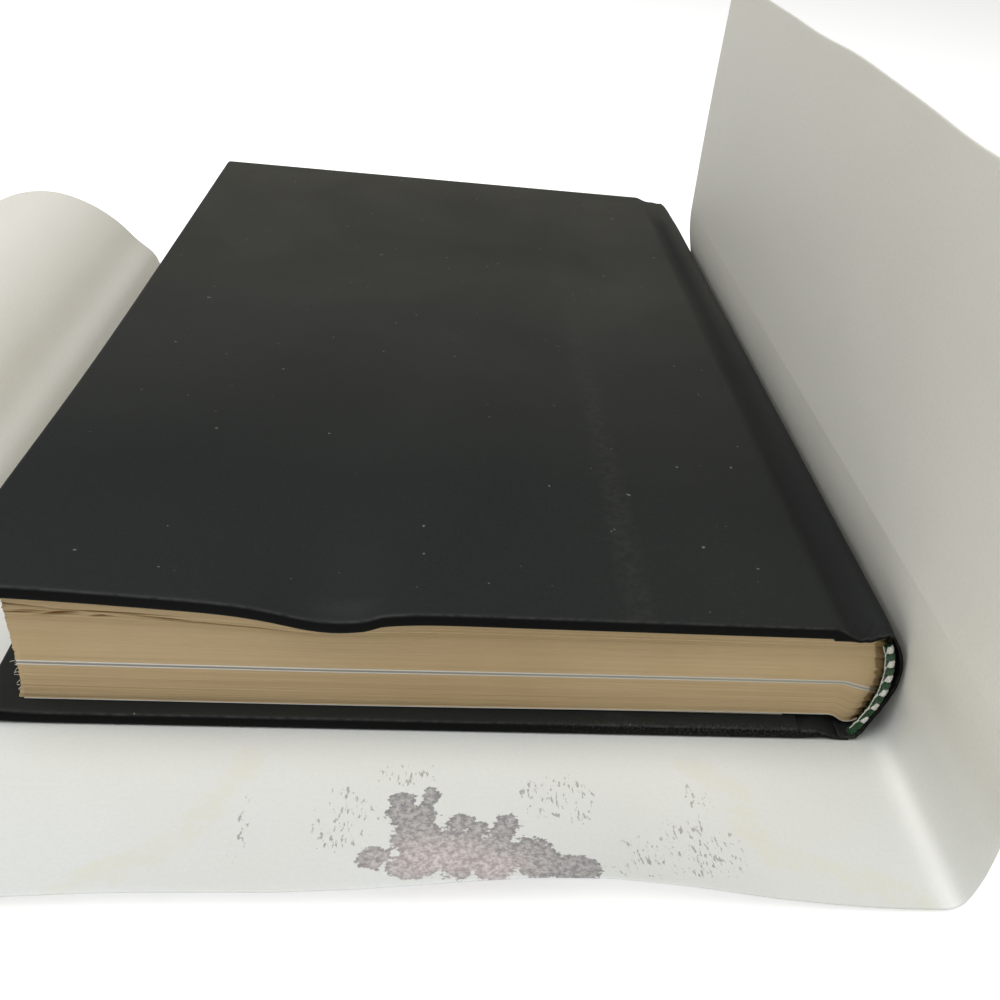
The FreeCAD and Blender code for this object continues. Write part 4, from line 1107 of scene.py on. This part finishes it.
def coated_paper(tree):
    """Coated jacket paper, its plain white inside up: faint fibres, tide marks, a mould patch, a painted
    highlight along the fold and a painted warm tint of bounce light on the raised parts.

    The mould is the field of the same name broken up by grain: a grey crust with a pink middle. The
    tide marks are thin bands where the tide field, a distance in metres, crosses nothing.
    """
    place = add(tree, "TexCoord").outputs["Object"]
    uv = add(tree, "UVMap", uv_map="unrolled")
    fibre = add(tree, "TexNoise", {"Vector": uv, "Scale": 1300.0, "Detail": 4.0, "Roughness": 0.6})
    cloud = add(tree, "TexNoise", {"Vector": uv, "Scale": 13.0, "Detail": 3.0})
    crumb = add(tree, "TexNoise", {"Vector": uv, "Scale": 900.0, "Detail": 5.0, "Roughness": 0.75})
    ragged = add(tree, "TexNoise", {"Vector": uv, "Scale": 260.0, "Detail": 6.0, "Roughness": 0.72})
    cloudy = add(tree, "MapRange", {"Value": cloud, "From Min": 0.35, "From Max": 0.7})
    # Painted warm bounce light on the raised parts of the sheet
    raised_bounce_tint = add(tree, "Attribute", attribute_name="raised_bounce_tint")
    tooth = add(tree, "MapRange", {"Value": fibre, "From Min": 0.4, "From Max": 0.7, "To Max": 0.2})
    # Tide marks of dried water
    tide = add(tree, "Attribute", attribute_name="tide")
    swing = add(tree, "Math", {0: ragged, 1: 0.006, 2: -0.003}, operation="MULTIPLY_ADD")
    reach = add(tree, "Math", {0: tide.outputs["Fac"], 1: swing}, operation="ADD")
    inside = add(
        tree,
        "MapRange",
        {"Value": reach, "From Min": -0.0012, "From Max": 0.001, "To Max": 0.4},
        interpolation_type="SMOOTHSTEP",
    )
    rim = add(tree, "Math", {0: reach}, operation="ABSOLUTE")
    rim = add(
        tree,
        "MapRange",
        {"Value": rim, "From Min": 0.0, "From Max": 0.0012, "To Min": 0.25, "To Max": 0.0},
        interpolation_type="SMOOTHSTEP",
    )
    yellow = add(tree, "Math", {0: inside, 1: rim}, operation="MAXIMUM")
    blotch = add(tree, "MapRange", {"Value": ragged, "From Min": 0.35, "From Max": 0.6})
    yellow = add(tree, "Math", {0: yellow, 1: blotch}, operation="MULTIPLY")
    # Mould: a solid crust where the field is high, loose specks where it is low
    mould = add(tree, "Attribute", attribute_name="mould")
    torn = add(tree, "Math", {0: ragged, 1: 1.2, 2: -0.6}, operation="MULTIPLY_ADD")
    crumbled = add(tree, "Math", {0: crumb, 1: 1.6, 2: -0.8}, operation="MULTIPLY_ADD")
    torn = add(tree, "Math", {0: torn, 1: crumbled}, operation="ADD")
    field = add(tree, "Math", {0: mould.outputs["Fac"], 1: torn}, operation="ADD")
    crust = add(tree, "MapRange", {"Value": field, "From Min": 0.42, "From Max": 0.5, "To Max": 0.92})
    on_patch = add(tree, "MapRange", {"Value": mould.outputs["Fac"], "From Min": 0.02, "From Max": 0.2})
    crust = add(tree, "Math", {0: crust, 1: on_patch}, operation="MULTIPLY")
    grains = add(tree, "MapRange", {"Value": crumb, "From Min": 0.42, "From Max": 0.58})
    middle = add(tree, "Attribute", attribute_name="middle")
    rose = add(tree, "Mix", {"Factor": grains, "A": "#d9cfcd", "B": "#a69b9c"}, data_type="RGBA")
    grey = add(tree, "Mix", {"Factor": grains, "A": "#b9b7b6", "B": "#7d7c7e"}, data_type="RGBA")
    dark_rim = add(
        tree, "MapRange", {"Value": field, "From Min": 0.5, "From Max": 0.75, "To Min": 0.45, "To Max": 0.0}
    )
    grey = add(tree, "Mix", {"Factor": dark_rim, "A": grey, "B": "#66656a"}, data_type="RGBA")
    patch = add(tree, "Mix", {"Factor": middle.outputs["Fac"], "A": grey, "B": rose}, data_type="RGBA")
    thin = add(tree, "Attribute", attribute_name="specks")
    drawn = add(tree, "Mapping", {"Vector": uv, "Scale": (1500.0, 480.0, 1.0)})
    cracks = add(tree, "TexNoise", {"Vector": drawn, "Scale": 1.0, "Detail": 3.0, "Roughness": 0.65})
    cluster = add(tree, "TexNoise", {"Vector": uv, "Scale": 240.0, "Detail": 2.0})
    level = add(tree, "MapRange", {"Value": thin.outputs["Fac"], "To Min": 0.86, "To Max": 0.57})
    gathered = add(tree, "Math", {0: cluster, 1: -0.28, 2: 0.14}, operation="MULTIPLY_ADD")
    level = add(tree, "Math", {0: level, 1: gathered}, operation="ADD")
    over = add(tree, "Math", {0: cracks, 1: level}, operation="SUBTRACT")
    dots = add(tree, "MapRange", {"Value": over, "From Min": 0.0, "From Max": 0.04, "To Max": 0.7})
    # Painted highlight along the jacket's fold
    fold = add(tree, "Attribute", attribute_name="fold")
    base = "#e2e5e3"
    tints = (
        (cloudy, "#e0e1dc"),
        (raised_bounce_tint.outputs["Fac"], "#e8e6db"),
        (tooth, "#cfd0cc"),
        (yellow, "#dddbc4"),
        (crust, patch),
        (dots, "#8d8985"),
        (fold.outputs["Fac"], "#f6f6f3"),
    )
    for share, tint in tints:
        base = add(tree, "Mix", {"Factor": share, "A": base, "B": tint}, data_type="RGBA")
    wide = add(tree, "TexNoise", {"Vector": place, "Scale": 45.0, "Detail": 2.0})
    soft = add(tree, "Bump", {"Height": wide, "Strength": 0.45, "Distance": 0.001})
    bumps = add(tree, "Bump", {"Height": fibre, "Strength": 0.12, "Distance": 0.0001, "Normal": soft})
    return {"Base Color": base, "Roughness": 0.55, "Normal": bumps, "Specular IOR Level": 0.35}


CLOTH_FINISH = material("book_cloth_charcoal", book_cloth)
LEAF_FINISH = material("cut_book_paper", cut_leaves)
ENDPAPER_FINISH = material("endpaper_white", endpaper)
BOARD_FINISH = material("grey_binders_board", grey_board)
GAUZE_FINISH = material("cotton_gauze_on_paper", gauze)
THREAD_FINISH = material("mercerised_cotton_thread", silk_thread)
JACKET_FINISH = material("coated_jacket_paper", coated_paper)


# The pieces, most of them on their bodies


def place(piece, finish, slot, body, *nodes):
    """Gives a piece its finish and its body, and hides the nodes that it stands for. The slot is not used.
    """
    piece.data.materials.clear()
    piece.data.materials.append(finish)
    if nodes:
        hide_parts(*nodes)
    if body:
        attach(piece, body)
    return piece


def at(x, z):
    """A point of a bend line, from millimetres to metres."""
    return (x * MM, 0.0, z * MM)


cover_skin = front_covering()
place(cover_skin, CLOTH_FINISH, "dark_covering", None, "front_covering", "spine_covering", "front_board")
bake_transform(cover_skin)
back_skin = back_covering()
place(back_skin, CLOTH_FINISH, "dark_covering", None, "back_covering")
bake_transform(back_skin)
place(text_block(), LEAF_FINISH, "pages", "book_block", "text_block")
place(front_flyleaf(), ENDPAPER_FINISH, "endpaper", "book_block", "front_flyleaf")
place(back_flyleaf(), ENDPAPER_FINISH, "endpaper", "book_block", "back_flyleaf")
place(front_pastedown(), ENDPAPER_FINISH, "endpaper", "front_cover", "front_pastedown")
place(back_pastedown(), ENDPAPER_FINISH, "endpaper", "back_cover", "back_pastedown")
HEAD_Y = node_box("head_band")[0][1], node_box("head_band")[1][1]
TAIL_Y = node_box("tail_band")[0][1], node_box("tail_band")[1][1]
head = end_band("head_band_threads", HEAD_Y[0], -1.0)
place(head, THREAD_FINISH, "band_thread", "book_block", "head_band")
tail = end_band("tail_band_threads", TAIL_Y[1], 1.0, 0.9)
place(tail, THREAD_FINISH, "band_thread", "book_block", "tail_band")
for name, ends in (("head_band_tape", (-114.0, HEAD_Y[1])), ("tail_band_tape", (TAIL_Y[0], 114.0))):
    tape = curved_strip(name, (BLOCK_RADIUS + 0.35, BLOCK_RADIUS + 0.08), (-0.32, 0.45), ends)
    place(tape, GAUZE_FINISH, "band_thread", "book_block")
INLAY_LOW, INLAY_HIGH = node_box("spine_inlay")
INLAY_RADII = SPINE_RADIUS - CLOTH - 0.03, SPINE_RADIUS - CLOTH - 0.6
inlay_reach = np.arcsin((INLAY_HIGH[2] - MID_Z) / INLAY_RADII[0])
# The far end stops short of where the ridge of the covering is pressed in
inlay_ends = INLAY_LOW[1] + 5.0, INLAY_HIGH[1] - 28.0
inlay = curved_strip("spine_inlay_strip", INLAY_RADII, (-inlay_reach, inlay_reach), inlay_ends)
place(inlay, BOARD_FINISH, "board", "book_block", "spine_inlay")
place(lint(), ENDPAPER_FINISH, "endpaper", "book_block")
jacket = dust_jacket()
place(jacket, JACKET_FINISH, "jacket_paper", None, "dust_jacket")
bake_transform(jacket)

KEPT_NODES = (("back_board", BOARD_FINISH), ("front_board", BOARD_FINISH), ("spine_lining", GAUZE_FINISH))
for node, finish in KEPT_NODES:
    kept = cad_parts[node].data.materials
    kept.clear()
    kept.append(finish)

# The floor, the light and the camera


def white_floor(tree):
    """A pale studio floor: matt white paper that the camera sees a little brighter than it is lit."""
    path = add(tree, "LightPath")
    rays = {0: path.outputs["Is Camera Ray"], 1: path.outputs["Is Glossy Ray"]}
    seen = add(tree, "Math", rays, operation="MAXIMUM")
    glow = add(tree, "Math", {0: seen, 1: 0.6}, operation="MULTIPLY")
    return {
        "Base Color": "#f2f2f0",
        "Roughness": 0.9,
        "Specular IOR Level": 0.1,
        "Emission Color": "#ffffff",
        "Emission Strength": glow,
    }


# Room under the loose paper, which the fold of the jacket needs when the book is opened
FLOOR_HALF, FLOOR_Z = 3000.0, -1.0
corners = [(x * FLOOR_HALF, y * FLOOR_HALF, FLOOR_Z) for x, y in ((-1, -1), (1, -1), (1, 1), (-1, 1))]
floor = mesh_object("floor", corners, [(0, 1, 2, 3)])
floor.data.materials.append(material("studio_paper", white_floor))

world = bpy.data.worlds.new("studio")
world.use_nodes = True
sky = world.node_tree
sky.nodes.clear()
path = add(sky, "LightPath")
level = add(sky, "MapRange", {"Value": path.outputs["Is Camera Ray"], "To Min": 0.22, "To Max": 1.0})
air = add(sky, "Background", {"Color": "#ffffff", "Strength": level})
add(sky, "OutputWorld", {"Surface": air})
bpy.context.scene.world = world


def soft_box(name, where, target, size, power):
    """A square area lamp at a point, turned to its target; both are in millimetres."""
    lamp = bpy.data.lights.new(name, "AREA")
    lamp.shape = "SQUARE"
    lamp.size = size * MM
    lamp.energy = power
    obj = bpy.data.objects.new(name, lamp)
    bpy.context.scene.collection.objects.link(obj)
    obj.location = Vector(where) * MM
    obj.rotation_euler = (Vector(target) - Vector(where)).to_track_quat("-Z", "Y").to_euler()


soft_box("left_soft_box", (-600.0, -200.0, 950.0), (0.0, 0.0, 0.0), 900.0, 7.0)
soft_box("overhead_soft_box", (0.0, -250.0, 1050.0), (0.0, 0.0, 0.0), 900.0, 5.0)

# The camera's place and turn, from the vanishing lines of the covers
AZIMUTH, ELEVATION, ROLL = 0.148539511, 0.612145459, 0.134801336
CAMERA_PLACE = Vector((-7.0007, -241.6391, 138.4667)) * MM
FOCAL_LENGTH, SHIFT_X, SHIFT_Y = 34.5602, -0.0414, 0.00973
ahead = Vector(
    (np.sin(AZIMUTH) * np.cos(ELEVATION), np.cos(AZIMUTH) * np.cos(ELEVATION), -np.sin(ELEVATION))
)
level_right = ahead.cross(Vector((0.0, 0.0, 1.0))).normalized()
level_up = level_right.cross(ahead)
right = np.cos(ROLL) * level_right + np.sin(ROLL) * level_up
up = -np.sin(ROLL) * level_right + np.cos(ROLL) * level_up
lens = bpy.data.cameras.new("camera")
lens.sensor_width = 36.0
lens.lens = FOCAL_LENGTH
lens.shift_x = SHIFT_X
lens.shift_y = SHIFT_Y
lens.clip_start = 0.01
camera = bpy.data.objects.new("camera", lens)
turn = Matrix((right, up, -ahead)).transposed().to_4x4()
camera.matrix_world = Matrix.Translation(CAMERA_PLACE) @ turn
bpy.context.scene.collection.objects.link(camera)
bpy.context.scene.camera = camera
bpy.context.scene.view_settings.view_transform = "Standard"
